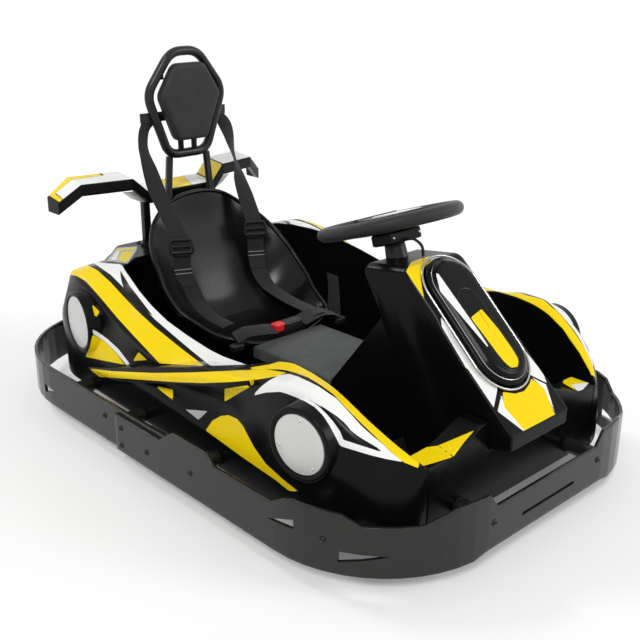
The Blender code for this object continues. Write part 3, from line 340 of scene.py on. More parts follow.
bumper_finish = scratched("bumper plastic", (0.013, 0.013, 0.0118), 0.18, 0.36, squeeze=14.0)
seat_finish = scratched("polished seat shell", (0.003, 0.003, 0.003), 0.24, 0.19, depth=0.00008)
steel = coated_steel("black powder coat", (0.006, 0.006, 0.0065), 0.36)
pad_steel = coated_steel("satin black steel", (0.009, 0.0095, 0.010), 0.33)
zinc = plated("zinc plating", (0.60, 0.61, 0.63), 0.32)
dark_bolt = coated_steel("black bolts", (0.02, 0.02, 0.021), 0.32, 0.6)
# Silver for the crest's edging; on the crest's bead and on the keepers' bars its colour is painted highlight.
silver_trim_and_highlight = plated("silver edging and painted highlights", (0.50, 0.50, 0.48), 0.26)
foam = grained_skin("foam skin", (0.060, 0.065, 0.062), 0.60)
head_foam = grained_skin("head pad skin", (0.013, 0.014, 0.0155), 0.55)
foam_back = grained_skin("foam back cover", (0.006, 0.006, 0.007), 0.50)
webbing = woven("webbing", (0.007, 0.007, 0.0068))
grey_webbing = woven("grey webbing", (0.024, 0.028, 0.025))
rubber = grained_skin("rubber", (0.007, 0.007, 0.0075), 0.44)
glossy_black = scratched("glossy black", (0.004, 0.004, 0.0045), 0.16, 0.3)
cover_grey = scratched("grey cover", (0.60, 0.60, 0.58), 0.38)
panel_white = scratched("white panel", (0.88, 0.89, 0.87), 0.35)
button_red = scratched("red button", (0.75, 0.010, 0.008), 0.32)
buckle_finish = coated_steel("buckle plastic", (0.010, 0.010, 0.010), 0.40)
battery_finish = coated_steel("battery case", (0.05, 0.06, 0.08), 0.60)
print("finishes:", len(bpy.data.materials))

# %% [markdown]
# Almost every new piece is a grid of points: a closed outline that changes from one
# station to the next, or an outline carried along a path. These helpers turn whole
# arrays of points into a mesh, and read and write all its points at once, which is
# far quicker than a loop over the vertices.


# %% Grids into meshes
def as_piece(name, points, faces, material, angle=40, merge=0.00002):
    """Mesh from an array of points and lists of corners, welded and shaded smooth."""
    data = bpy.data.meshes.new(name)
    data.from_pydata(points.tolist(), [], faces)
    shape = bmesh.new()
    shape.from_mesh(data)
    bmesh.ops.remove_doubles(shape, verts=shape.verts, dist=merge)
    bmesh.ops.recalc_face_normals(shape, faces=shape.faces)
    shape.to_mesh(data)
    shape.free()
    data.shade_smooth()
    data.set_sharp_from_angle(angle=math.radians(angle))
    thing = bpy.data.objects.new(name, data)
    bpy.context.scene.collection.objects.link(thing)
    data.materials.append(material)
    return thing


def read_points(thing):
    """Every vertex of a mesh as one array."""
    places = np.empty(len(thing.data.vertices) * 3)
    thing.data.vertices.foreach_get("co", places)
    return places.reshape(-1, 3)


def write_points(thing, places):
    thing.data.vertices.foreach_set("co", places.ravel())
    thing.data.update()


def on_kart(*pieces):
    """Finished pieces that ride on the kart's body."""
    for piece in pieces:
        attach(piece, "kart")


def prism(name, first, second, material):
    """Two outlines with the same number of corners, joined corner by corner."""
    n = len(first)
    faces = [list(range(n)), list(range(n, 2 * n))]
    faces += [[k, (k + 1) % n, n + (k + 1) % n, n + k] for k in range(n)]
    return as_piece(name, np.vstack((first, second)), faces, material)


def skin(name, grid, material, closed=True, looped=False, caps=True, angle=40):
    """Quads between neighbours of a grid of points, with its first and last rows filled."""
    rows, columns = grid.shape[:2]
    i = np.arange(rows if looped else rows - 1)
    j = np.arange(columns if closed else columns - 1)
    i, j = (part.ravel() for part in np.meshgrid(i, j, indexing="ij"))
    after, beside = (i + 1) % rows, (j + 1) % columns
    quads = np.stack((i * columns + j, i * columns + beside,
                      after * columns + beside, after * columns + j), 1)
    faces = quads.tolist()
    if caps and closed and not looped:
        faces += [list(range(columns)), list(range((rows - 1) * columns, rows * columns))]
    return as_piece(name, grid.reshape(-1, 3), faces, material, angle)


print("a skin of 3 by 4 points has", 2 * 4 + 2, "faces")

# %% [markdown]
# A shape with few numbers is easy to correct. So the sections are short tables, and
# these helpers run a smooth curve through the rows of a table, round the corners of
# every outline at once, and split long sides where a film needs finer points.


# %% Curves through tables
def smooth_table(keys, rows, wanted):
    """Cubic between rows, whose slope at a row is the harmonic mean of its neighbours' slopes."""
    keys, rows, wanted = (np.asarray(part, float) for part in (keys, rows, wanted))
    step = np.diff(keys)[:, None]
    slope = np.diff(rows, axis=0) / step
    turning = slope[:-1] * slope[1:] <= 0
    total = np.where(turning, 1.0, slope[:-1] + slope[1:])
    inner = np.where(turning, 0.0, 2 * slope[:-1] * slope[1:] / total)
    tangent = np.vstack((slope[:1], inner, slope[-1:]))
    at = np.clip(np.searchsorted(keys, wanted, "right") - 1, 0, len(keys) - 2)
    t = ((wanted - keys[at]) / step[at, 0])[:, None]
    return ((2 * t**3 - 3 * t**2 + 1) * rows[at] + (t**3 - 2 * t**2 + t) * step[at] * tangent[at]
            + (3 * t**2 - 2 * t**3) * rows[at + 1] + (t**3 - t**2) * step[at] * tangent[at + 1])


def soften(rings, sizes, steps=5):
    """Each corner becomes a short curve between the two sides that meet there."""
    sizes = np.broadcast_to(np.asarray(sizes, float), rings.shape[1])[None, :]
    t = np.linspace(0, 1, steps)[:, None]

    def toward(other):
        leg = other - rings
        length = np.maximum(np.linalg.norm(leg, axis=2), 1e-9)
        return rings + leg * np.minimum(sizes / length, 0.45)[..., None]

    first, last = toward(np.roll(rings, 1, 1)), toward(np.roll(rings, -1, 1))
    curve = ((1 - t) ** 2 * first[:, :, None] + 2 * t * (1 - t) * rings[:, :, None]
             + t**2 * last[:, :, None])
    return curve.reshape(len(rings), -1, rings.shape[2])


def refine(rings, longest, closed=True):
    """Splits each side of the outlines until none is longer than the given length."""
    after = np.roll(rings, -1, 1)
    lengths = np.linalg.norm(after - rings, axis=2).max(0)
    parts = np.maximum(1, np.ceil(lengths / longest).astype(int))
    if not closed:
        parts[-1] = 1
    columns = [rings[:, k:k + 1] + (after - rings)[:, k:k + 1] * (np.arange(n) / n)[None, :, None]
               for k, n in enumerate(parts)]
    return np.concatenate(columns, axis=1)


print("a corner of 5 steps turns 4 points into", 4 * 5)

# %% [markdown]
# Round pieces and tubes come from two more helpers: a profile spun about an axis, and
# a circle carried along a path. The circle's directions are handed on from point to
# point and turn as little as they can, so that a tube doesn't twist.

# %% Turned pieces and tubes
UPRIGHT = np.array((0.0, 0.0, 1.0))


def turned(name, profile, centre, axis, material, sides=64, angle=35):
    """A profile of radius and height spun about an axis."""
    axis = np.asarray(axis, float) / np.linalg.norm(axis)
    helper = UPRIGHT if abs(axis[2]) < 0.9 else np.array((0.0, 1.0, 0.0))
    first = np.cross(helper, axis)
    first /= np.linalg.norm(first)
    second = np.cross(axis, first)
    turn = np.linspace(0, 2 * math.pi, sides, endpoint=False)
    around = np.cos(turn)[:, None] * first + np.sin(turn)[:, None] * second
    radius, height = np.asarray(profile, float).T
    grid = np.asarray(centre) + radius[:, None, None] * around[None] + height[:, None, None] * axis
    ends = radius[0] > 1e-6 or radius[-1] > 1e-6
    return skin(name, grid, material, caps=ends, angle=angle)


def frames_along(path, looped=False):
    """Directions along a path, and two across it that turn as little as they can."""
    path = np.asarray(path, float)
    along = np.roll(path, -1, 0) - np.roll(path, 1, 0) if looped else np.gradient(path, axis=0)
    along /= np.linalg.norm(along, axis=1, keepdims=True)
    side = np.zeros_like(along)
    start = np.cross(along[0], UPRIGHT if abs(along[0][2]) < 0.9 else (1.0, 0.0, 0.0))
    side[0] = start / np.linalg.norm(start)
    for k in range(1, len(path)):
        carried = side[k - 1] - along[k] * (side[k - 1] @ along[k])
        side[k] = carried / np.linalg.norm(carried)
    return along, side, np.cross(along, side)


def pipe(name, path, radius, material, sides=16, looped=False):
    """A circle carried along a path."""
    _along, side, up = frames_along(path, looped)
    turn = np.linspace(0, 2 * math.pi, sides, endpoint=False)
    radius = np.broadcast_to(np.asarray(radius, float), len(path))[:, None, None]
    ring = np.cos(turn)[None, :, None] * side[:, None] + np.sin(turn)[None, :, None] * up[:, None]
    return skin(name, np.asarray(path, float)[:, None] + radius * ring, material, looped=looped)


def run_along(path):
    """Distance from a path's start to each of its points."""
    return np.concatenate(([0.0], np.cumsum(np.linalg.norm(np.diff(path, axis=0), axis=1))))


def flowing(points, per_span=8):
    """Smooth path through a few points, each passed at the share of the length that it lies at."""
    points = np.asarray(points, float)
    run = run_along(points[:, :3])
    return smooth_table(run, points, np.linspace(0, run[-1], per_span * (len(points) - 1) + 1))


print("a path of 3 points flows through", len(flowing(np.eye(3))))

# %% [markdown]
# The films are drawn where the camera sees them, as outlines in the picture, because
# a stripe that runs over three curved pieces is easiest to lay out flat. Each vertex
# is looked up in the picture once, while the mesh is made, and stores how far inside
# every outline it lies. The far side takes the same numbers as the near side, so both
# sides carry the same stripes and they stay put from any angle.

# %% Painting through the camera
# About what one pixel of the picture covers on the kart, in metres.
PIXEL = 0.003
FAR_OUTSIDE = -0.05


def inside_distance(spots, outline):
    """Distance to the nearest side of an outline, positive inside it and negative outside."""
    start = np.asarray(outline, float)
    side = np.roll(start, -1, 0) - start
    away = spots[:, None] - start[None]
    t = np.clip((away * side).sum(2) / (side**2).sum(1), 0, 1)
    distance = np.linalg.norm(away - t[..., None] * side, axis=2).min(1)
    # A level ray from a spot inside the outline crosses its sides an odd number of times.
    rises = (start[:, 1] > spots[:, 1:]) != (start[:, 1] + side[:, 1] > spots[:, 1:])
    slant = side[:, 0] / np.where(side[:, 1] == 0, 1e-9, side[:, 1])
    crossed = rises & (spots[:, :1] < start[:, 0] + (spots[:, 1:] - start[:, 1]) * slant)
    return np.where(crossed.sum(1) % 2 == 1, distance, -distance)


def store_films(thing, table, spots, scale=1.0, allowed=np.inf):
    """One distance for each film and vertex: the largest over its outlines, held below what is allowed."""
    for film in FILMS:
        distance = np.full(len(spots), FAR_OUTSIDE)
        for colour, outline in table:
            if colour == film:
                distance = np.maximum(distance, inside_distance(spots, outline) * scale)
        stored = thing.data.attributes.new(film, "FLOAT", "POINT")
        stored.data.foreach_set("value", np.minimum(distance, allowed))


def paint(thing, table, mirrored=True, allowed=None):
    """Films seen through the camera; a vertex that isn't allowed stays bare."""
    near = read_points(thing)
    if mirrored:
        near[:, 0] = -np.abs(near[:, 0])
    store_films(thing, table, seen_at(near), PIXEL, np.inf if allowed is None else allowed(near))


POD_PAINT = (
    ("yellow", ((63.0, 277.3), (68.7, 257.2), (76.3, 262.6), (83.0, 263.0), (97.4, 270.2), (110.8, 282.5),
        (122.3, 295.1), (135.7, 309.3), (154.8, 327.0), (177.7, 345.6), (204.1, 365.9), (159.6, 363.4),
        (147.1, 350.0), (131.8, 333.7), (116.5, 316.9), (101.2, 298.4), (85.9, 281.1), (76.3, 275.8),
        (68.3, 274.4))),
    ("yellow", ((91.3, 303.1), (99.7, 311.9), (95.5, 318.4))),
    ("yellow", ((138.5, 352.1), (147.1, 360.1), (133.0, 360.9))),
    ("yellow", ((92.6, 334.5), (105.0, 341.8), (116.5, 353.3), (124.6, 364.7), (105.0, 360.9), (85.5, 356.7),
        (89.4, 348.1))),
    ("white", ((92.6, 329.2), (97.4, 331.8), (107.0, 338.5), (118.4, 349.0), (129.9, 364.0), (126.5, 365.3),
        (116.5, 352.9), (105.0, 341.4), (93.2, 334.1))),
    ("white", ((85.2, 259.1), (93.6, 261.4), (107.0, 263.3), (119.4, 264.0), (129.9, 270.6), (141.4, 283.0),
        (152.9, 295.5), (172.0, 307.9), (191.1, 325.1), (212.2, 342.4), (233.2, 353.8), (254.3, 364.4),
        (210.3, 365.7), (193.1, 351.9), (173.9, 335.7), (154.8, 319.2), (139.5, 303.7), (124.2, 288.2),
        (110.8, 274.8), (97.4, 265.4))),
    ("black", ((119.8, 269.7), (129.9, 285.9), (141.4, 300.8), (153.3, 316.5), (135.7, 303.1),
        (124.2, 290.1), (121.3, 280.2))),
    ("yellow", ((154.8, 385.8), (173.0, 389.6), (173.0, 400.3))),
    ("yellow", ((224.6, 388.8), (240.9, 386.4), (254.3, 384.4), (240.9, 392.1), (224.6, 401.7))),
    ("silver", ((185.4, 409.3), (207.6, 411.2), (198.4, 419.8))),
    ("yellow", ((205.7, 430.4), (212.2, 420.8), (220.8, 416.0), (228.4, 415.1), (237.1, 418.9),
        (242.8, 425.6), (247.6, 435.1), (254.3, 447.6), (265.8, 463.8), (282.6, 479.1), (299.0, 492.0),
        (288.7, 490.6), (275.3, 479.9), (240.9, 456.2))),
    ("yellow", ((250.0, 367.5), (269.6, 364.3), (280.0, 361.3), (286.0, 359.0), (292.0, 358.3),
        (300.4, 359.0), (306.5, 360.5), (314.7, 364.5), (324.9, 370.2), (337.0, 377.0), (347.5, 385.8),
        (358.0, 394.8), (368.0, 405.5), (378.5, 415.8), (388.5, 425.5), (397.0, 434.5), (405.0, 443.5),
        (412.0, 452.2), (420.5, 461.5), (418.0, 468.0), (412.7, 465.8), (402.4, 461.7), (392.2, 452.5),
        (382.0, 442.9), (371.8, 433.2), (361.6, 423.5), (351.4, 413.3), (341.2, 402.6), (333.0, 393.9),
        (320.8, 385.2), (308.6, 377.6), (296.3, 373.0), (286.0, 370.2), (280.0, 369.4), (265.7, 369.0),
        (252.0, 369.5))),
    ("white", ((254.6, 395.3), (255.2, 392.7), (262.0, 385.8), (269.6, 380.2), (279.0, 375.4),
        (288.7, 373.7), (298.4, 376.7), (310.6, 382.4), (318.8, 386.5), (324.9, 390.8), (337.0, 399.0),
        (347.3, 410.2), (361.6, 426.0), (371.8, 435.2), (382.0, 443.4), (392.2, 453.0), (403.0, 462.0),
        (387.0, 459.2), (369.8, 455.0), (340.2, 446.0), (335.0, 435.7), (329.0, 424.5), (322.9, 415.3),
        (314.7, 407.0), (304.5, 401.0), (295.3, 397.0), (286.0, 393.4), (280.0, 391.8), (265.7, 392.5))),
    ("black", ((307.6, 398.5), (320.8, 405.6), (337.1, 416.3), (345.3, 423.5), (351.4, 431.1),
        (360.6, 437.8), (378.0, 448.0), (389.2, 454.6), (343.3, 439.8), (340.2, 431.6), (333.1, 421.4),
        (325.9, 413.3), (318.8, 406.6))),
    ("yellow", ((88.8, 368.6), (112.7, 371.2), (152.9, 373.0), (193.1, 372.4), (223.7, 371.1),
        (242.8, 370.1), (265.8, 369.3), (286.8, 372.6), (277.2, 376.2), (256.2, 379.7), (231.3, 382.0),
        (202.6, 383.1), (173.9, 382.0), (135.7, 379.3), (99.7, 376.8))),
)
COWL_PAINT = (
    ("yellow", ((403.8, 449.8), (421.4, 448.0), (437.5, 445.7), (452.9, 456.8), (437.5, 461.8),
        (419.2, 467.1))),
    ("yellow", ((438.3, 445.4), (474.2, 430.4), (463.9, 442.4), (453.7, 456.2))),
    ("yellow", ((565.2, 369.8), (588.6, 382.3), (571.0, 384.5), (576.9, 391.1), (563.0, 383.0))),
    ("white", ((571.0, 384.5), (589.4, 382.3), (582.8, 389.6), (577.6, 391.1))),
)
CONSOLE_PAINT = (
    ("yellow", ((406.0, 271.5), (411.1, 262.0), (421.4, 258.3), (432.4, 255.8), (441.9, 254.7),
        (452.9, 264.2), (439.0, 262.0), (430.9, 262.0), (426.5, 264.9), (422.9, 269.3), (420.7, 276.7),
        (422.1, 288.4), (424.3, 298.7))),
    ("white", ((430.2, 259.1), (432.4, 255.8), (441.9, 254.7), (445.6, 257.3), (439.0, 261.3),
        (431.7, 261.3))),
    ("white", ((443.4, 255.8), (452.9, 264.2), (477.1, 289.9), (488.9, 304.5), (512.4, 333.9),
        (527.0, 353.0), (543.2, 373.5), (546.8, 383.0), (530.7, 375.0), (497.7, 342.7), (459.5, 284.0))),
    ("white", ((440.8, 317.0), (443.4, 320.7), (456.6, 336.8), (474.2, 357.4), (485.9, 376.4),
        (497.7, 387.4), (493.6, 408.7), (477.1, 386.7), (459.5, 357.4), (447.8, 338.3), (441.9, 328.0))),
    ("yellow", ((502.8, 391.8), (515.3, 393.7), (524.1, 391.1), (529.2, 384.5), (531.4, 378.6),
        (543.2, 387.4), (549.0, 399.9), (556.4, 418.2), (527.8, 434.4), (503.6, 407.2))),
    ("white", ((501.8, 392.3), (504.3, 407.2), (527.8, 434.4), (497.7, 411.3))),
    ("white", ((531.4, 377.2), (546.1, 384.5), (548.3, 391.1), (556.7, 417.8), (543.9, 388.5))),
)
CREST_PAINT = (
    ("yellow", ((470.5, 317.7), (483.0, 333.9), (497.7, 353.7), (504.3, 361.8), (510.9, 367.6),
        (517.5, 366.9), (519.0, 360.3), (512.4, 348.6), (497.7, 328.0), (481.5, 308.9))),
    ("white", ((435.9, 273.0), (438.6, 273.9), (490.5, 348.0), (487.6, 347.0), (440.3, 291.2),
        (437.4, 279.6))),
)
DECK_PAINT = (
    ("silver", ((106.5, 260.5), (116.8, 247.6), (137.5, 246.2), (136.3, 250.8), (127.6, 263.8))),
    ("yellow", ((112.4, 259.8), (117.9, 248.5), (136.5, 247.3), (134.8, 249.4), (120.4, 250.2),
        (116.5, 259.5))),
    ("yellow", ((118.4, 260.2), (121.8, 252.2), (134.6, 250.8), (126.8, 262.4))),
    ("white", ((110.6, 259.4), (116.4, 250.8), (119.4, 251.1), (116.7, 259.6))),
)
print("outlines on the pods:", len(POD_PAINT))

# %% [markdown]
# ## Side pods
# Each pod is one long moulding that rises and falls beside the driver. Seven points
# across it, listed at 27 stations, give its outline: the inner foot, the rim, the
# crown, the shoulder, the waist, the sill and the outer foot. A smooth curve runs
# through each column, and every corner of the outline is then rounded. Behind the
# seat the top falls away past a slanting line over each rear corner.

# %% Pod sections
HULL_HALF_WIDTH = 0.444
HULL_FRONT_Y, HULL_REAR_Y = -0.695, 0.615
BASE_FRONT_Z, BASE_REAR_Z = 0.080, 0.115
# How far in from the side and from the end each rounded corner starts.
HULL_CORNERS = ((0.132, 0.230, HULL_FRONT_Y), (0.182, 0.180, HULL_REAR_Y))
# y, rim in, rim z, crown in, crown z, shoulder in, shoulder z, waist in, waist z, sill z.
POD_SECTIONS = np.array((
    (-0.695, 0.142, 0.243, 0.138, 0.244, 0.132, 0.238, 0.120, 0.200, 0.140),
    (-0.665, 0.126, 0.265, 0.112, 0.267, 0.092, 0.255, 0.076, 0.205, 0.145),
    (-0.625, 0.109, 0.292, 0.086, 0.295, 0.059, 0.285, 0.039, 0.210, 0.150),
    (-0.565, 0.092, 0.330, 0.064, 0.335, 0.034, 0.322, 0.010, 0.240, 0.150),
    (-0.515, 0.087, 0.355, 0.058, 0.364, 0.026, 0.350, 0.004, 0.250, 0.150),
    (-0.465, 0.087, 0.370, 0.056, 0.379, 0.022, 0.366, 0.002, 0.260, 0.150),
    (-0.415, 0.089, 0.377, 0.057, 0.379, 0.021, 0.370, 0.002, 0.260, 0.152),
    (-0.365, 0.092, 0.379, 0.058, 0.369, 0.022, 0.360, 0.006, 0.260, 0.155),
    (-0.315, 0.095, 0.370, 0.059, 0.359, 0.023, 0.349, 0.014, 0.250, 0.160),
    (-0.265, 0.096, 0.352, 0.060, 0.350, 0.024, 0.340, 0.022, 0.240, 0.165),
    (-0.215, 0.102, 0.330, 0.064, 0.332, 0.026, 0.322, 0.032, 0.230, 0.168),
    (-0.165, 0.106, 0.314, 0.066, 0.316, 0.026, 0.306, 0.036, 0.225, 0.172),
    (-0.115, 0.096, 0.317, 0.058, 0.306, 0.019, 0.294, 0.037, 0.225, 0.178),
    (-0.065, 0.082, 0.328, 0.049, 0.302, 0.011, 0.284, 0.036, 0.225, 0.185),
    (0.010, 0.074, 0.344, 0.044, 0.312, 0.005, 0.282, 0.030, 0.225, 0.193),
    (0.085, 0.070, 0.361, 0.042, 0.330, 0.002, 0.293, 0.024, 0.225, 0.200),
    (0.160, 0.076, 0.379, 0.047, 0.350, 0.002, 0.318, 0.018, 0.232, 0.202),
    (0.235, 0.089, 0.397, 0.059, 0.370, 0.004, 0.346, 0.012, 0.240, 0.200),
    (0.285, 0.102, 0.408, 0.064, 0.386, 0.006, 0.364, 0.006, 0.256, 0.190),
    (0.335, 0.117, 0.415, 0.067, 0.401, 0.010, 0.380, 0.003, 0.270, 0.180),
    (0.385, 0.136, 0.418, 0.068, 0.411, 0.016, 0.393, 0.001, 0.280, 0.170),
    (0.435, 0.156, 0.418, 0.068, 0.414, 0.024, 0.399, 0.002, 0.288, 0.160),
    (0.485, 0.178, 0.407, 0.074, 0.404, 0.038, 0.397, 0.006, 0.292, 0.150),
    (0.530, 0.194, 0.401, 0.092, 0.392, 0.060, 0.390, 0.020, 0.292, 0.145),
    (0.570, 0.206, 0.398, 0.118, 0.386, 0.090, 0.382, 0.046, 0.290, 0.142),
    (0.600, 0.214, 0.396, 0.150, 0.384, 0.122, 0.376, 0.084, 0.286, 0.140),
    (0.615, 0.218, 0.396, 0.180, 0.384, 0.156, 0.370, 0.126, 0.282, 0.140),
))
POD_THINNEST = 0.020
# How far the inner wall reaches down beside the floor pan, so that no light shows under it.
POD_FOOT = 0.010
# A point on the line over a rear corner and the direction out of it, then the step's width and drop.
REAR_LINE = ((0.286, 0.509), (0.711, 0.703))
REAR_STEP = (0.028, 0.053)
# Where the step sets in, going back and going up, and over what distance.
REAR_STEP_Y, REAR_STEP_Z = (0.50, 0.03), (0.28, 0.08)
POD_STATIONS = 230
POD_CORNERS = (0.002, 0.006, 0.007, 0.012, 0.030, 0.020, 0.004)
POD_CELL = 0.006
RIM_BORDER = 0.002


def hull_half_width(y):
    """The hull's side, drawn in at each end along a quarter of an ellipse."""
    width = np.full_like(y, HULL_HALF_WIDTH)
    for inset, length, end in HULL_CORNERS:
        past = np.clip(1 - np.abs(y - end) / length, 0, 1)
        width = width - inset * (1 - np.sqrt(1 - past**2))
    return width


def rear_fall(points):
    """How far the top drops outside a slanting line over each rear corner: a smooth step past it."""
    x, y, z = np.abs(points[..., 0]), points[..., 1], points[..., 2]
    along, across = REAR_LINE
    past = (x - along[0]) * across[0] + (y - along[1]) * across[1]
    behind = np.clip((y - REAR_STEP_Y[0]) / REAR_STEP_Y[1], 0, 1)
    above = np.clip((z - REAR_STEP_Z[0]) / REAR_STEP_Z[1], 0, 1)
    t = np.clip(past / REAR_STEP[0], 0, 1) * behind
    return REAR_STEP[1] * t**2 * (3 - 2 * t) * above


def pod_rings():
    """Outlines across a pod at +X, from the inner foot over the rim to the outer foot."""
    y = np.linspace(HULL_FRONT_Y, HULL_REAR_Y, POD_STATIONS)
    rows = smooth_table(POD_SECTIONS[:, 0], POD_SECTIONS[:, 1:], y)
    rim_in, rim_z, crown_in, crown_z, shoulder_in, shoulder_z, waist_in, waist_z, sill_z = rows.T
    low = np.interp(y, (HULL_FRONT_Y, HULL_REAR_Y), (BASE_FRONT_Z, BASE_REAR_Z))
    rim = HULL_HALF_WIDTH - rim_in
    outer = np.maximum(hull_half_width(y), rim + POD_THINNEST)
    x = np.stack((rim, rim, HULL_HALF_WIDTH - crown_in, HULL_HALF_WIDTH - shoulder_in,
                  HULL_HALF_WIDTH - waist_in, outer, outer), 1)
    z = np.stack((low - POD_FOOT, rim_z, crown_z, shoulder_z, waist_z, sill_z, low), 1)
    points = np.stack((x, np.broadcast_to(y[:, None], x.shape), z), 2)
    points[..., 2] -= rear_fall(points)
    return points


def outside_rim(places):
    """How far out from the cockpit's wall a place lies: film starts just past the rim."""
    rim = HULL_HALF_WIDTH - np.interp(places[:, 1], POD_SECTIONS[:, 0], POD_SECTIONS[:, 1])
    return np.abs(places[:, 0]) - rim - RIM_BORDER


def to_side(points, side):
    return points * np.array((side, 1.0, 1.0))


SIDES = ((-1, "right"), (1, "left"))
pod_skin = refine(soften(pod_rings(), POD_CORNERS), POD_CELL)
for side, word in SIDES:
    pod = skin("pod_" + word, to_side(pod_skin, side), painted, angle=50)
    paint(pod, DECK_PAINT + POD_PAINT, allowed=outside_rim)
    on_kart(pod)
    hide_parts("side_pod_" + word)
    print(pod.name, "faces:", len(pod.data.polygons))

# %% [markdown]
# A pointed blade stands out along the front of each pod. It is a thin five-sided
# outline carried from its tip beside the seat forwards until it merges with the arch.

# %% Blades
# y, top z, bottom z, how far outside the hull's side.
BLADE_SECTIONS = np.array((
    (-0.300, 0.345, 0.328, -0.004),
    (-0.240, 0.341, 0.311, 0.008),
    (-0.165, 0.335, 0.292, 0.014),
    (-0.080, 0.311, 0.268, 0.016),
    (0.010, 0.283, 0.240, 0.017),
    (0.120, 0.247, 0.208, 0.017),
    (0.220, 0.214, 0.180, 0.015),
    (0.300, 0.187, 0.168, 0.011),
    (0.366, 0.168, 0.164, 0.005),
))
BLADE_ROOT, BLADE_EDGE, BLADE_LIP = 0.039, 0.006, 0.004
BLADE_CORNERS = (0.001, 0.001, 0.003, 0.005, 0.002)
BLADE_STATIONS = 110


def blade_rings():
    """Outlines across the blade at +X: root, top, rounded outer edge and lip."""
    y = np.linspace(BLADE_SECTIONS[0, 0], BLADE_SECTIONS[-1, 0], BLADE_STATIONS)
    top, low, outside = smooth_table(BLADE_SECTIONS[:, 0], BLADE_SECTIONS[:, 1:], y).T
    root, outer = np.full_like(y, HULL_HALF_WIDTH - BLADE_ROOT), HULL_HALF_WIDTH + outside
    x = np.stack((root, root, outer - BLADE_EDGE, outer, outer - BLADE_LIP), 1)
    z = np.stack((low, top, top, (top + low) / 2, low), 1)
    return np.stack((x, np.broadcast_to(y[:, None], x.shape), z), 2)


blade_skin = refine(soften(blade_rings(), BLADE_CORNERS), POD_CELL)
for side, word in SIDES:
    blade = skin("blade_" + word, to_side(blade_skin, side), painted)
    paint(blade, POD_PAINT)
    on_kart(blade)
print("blade length:", round(float(np.ptp(BLADE_SECTIONS[:, 0])), 3), "m")

# %% [markdown]
# Round housings swell out of the pods over the front and rear casters. Each is a
# profile spun about a sideways axis: a flared foot, a rounded ring and a recess that
# holds a grey cover. Three small domed screws hold each cover. A spun profile keeps
# the ring truly round, which a bump on the pod's grid wouldn't.

# %% Housings, covers and screws
# y, z, cover radius, ring radius, ring height, degrees that it is turned to the rear.
HOUSINGS = {"front": (-0.480, 0.268, 0.066, 0.082, 0.014, -7), "rear": (0.384, 0.292, 0.069, 0.081, 0.014, 9)}
HOUSING_ROOT, HOUSING_FLARE, RING_ROUNDING = 0.050, 1.12, (0.006, 0.004)
COVER_RECESS, COVER_THICKNESS, COVER_SPACE = 0.006, 0.004, 0.001
SCREW_SHARE = 0.84
SCREW_TURNS = (88, 197, 310)
SCREW_RADIUS = 0.0042


def housing_profile(cover, ring, height):
    """Radius and height from the foot, over the ring, down to the recess and in under the cover."""
    wide, tall = RING_ROUNDING
    t = np.linspace(0, 1, 14)
    flank = np.stack((ring * (HOUSING_FLARE + (1 - HOUSING_FLARE) * t),
                      -HOUSING_ROOT + (height + HOUSING_ROOT - tall) * t), 1)
    turn = np.linspace(0, math.pi / 2, 7)
    nose = np.stack((ring - wide + wide * np.cos(turn), height - tall + tall * np.sin(turn)), 1)
    lip, under = cover + COVER_SPACE, height - COVER_RECESS - 0.002
    inner = np.array(((lip + 0.004, height - 0.0005), (lip + 0.001, height - 0.002), (lip, height - 0.004),
                      (lip, under), (0.0, under)))
    return np.vstack((flank, nose, inner))


def screw(name, place, axis, material, radius=SCREW_RADIUS):
    """Domed head with a hollow in the middle, spun about its axis."""
    turn = np.linspace(0, math.pi / 2, 6)
    dome = np.stack((radius * np.cos(turn), radius * 0.55 * np.sin(turn)), 1)
    dome = dome[dome[:, 0] > radius * 0.35]
    head = np.vstack(((radius, -0.0008), dome, (radius * 0.34, radius * 0.2), (0.0, radius * 0.18)))
    on_kart(turned(name, head, place, axis, material, sides=20))


for side, word in SIDES:
    for where, (y, z, cover, ring, height, lean) in HOUSINGS.items():
        out = np.array((side * math.cos(math.radians(lean)), math.sin(math.radians(lean)), 0.0))
        across = np.array((side * out[1], -abs(out[0]), 0.0))
        centre = np.array((side * HULL_HALF_WIDTH, y, z))
        profile = housing_profile(cover, ring, height)
        housing = turned(f"housing_{where}_{word}", profile, centre, out, painted, sides=96)
        paint(housing, POD_PAINT)
        face = height - COVER_RECESS + COVER_THICKNESS
        edge = ((cover, face - COVER_THICKNESS), (cover, face - 0.0012), (cover - 0.0004, face - 0.0004),
                (cover - 0.0012, face), (cover * 0.5, face + 0.0002), (0.0, face + 0.0003))
        plate = turned(f"cover_{where}_{word}", edge, centre, out, cover_grey, sides=96)
        on_kart(housing, plate)
        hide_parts(f"disc_cover_{where}_{word}")
        for k, degrees in enumerate(SCREW_TURNS):
            turn = math.radians(degrees)
            reach = cover * SCREW_SHARE
            place = centre + out * face + across * (reach * math.cos(turn)) + (0, 0, reach * math.sin(turn))
            screw(f"cover_screw_{where}_{word}_{k}", place, out, zinc)
print("housings:", 2 * len(HOUSINGS))

# %% [markdown]
# ## Front cowl, floor and deck
# These three are flat forms that the CAD has right, so copies of its solids serve:
# their corners are welded, their edges are rounded, and the faces are split finely
# enough to carry the films. Only the deck is changed after that: its block is cut
# down to a low shelf round the head rest's feet, falls away with the pods' rear
# corners, and gets two screws.


# %% Rounded copies of CAD solids
# Height of the deck's shelf, half the width and the rear of the part that stays above it, and the ramp.
DECK_SHELF = 0.3982
DECK_BLOCK = (0.104, 0.518)
DECK_RAMP = 0.012
DECK_BOLT = (0.118, 0.597, DECK_SHELF + 0.0008)


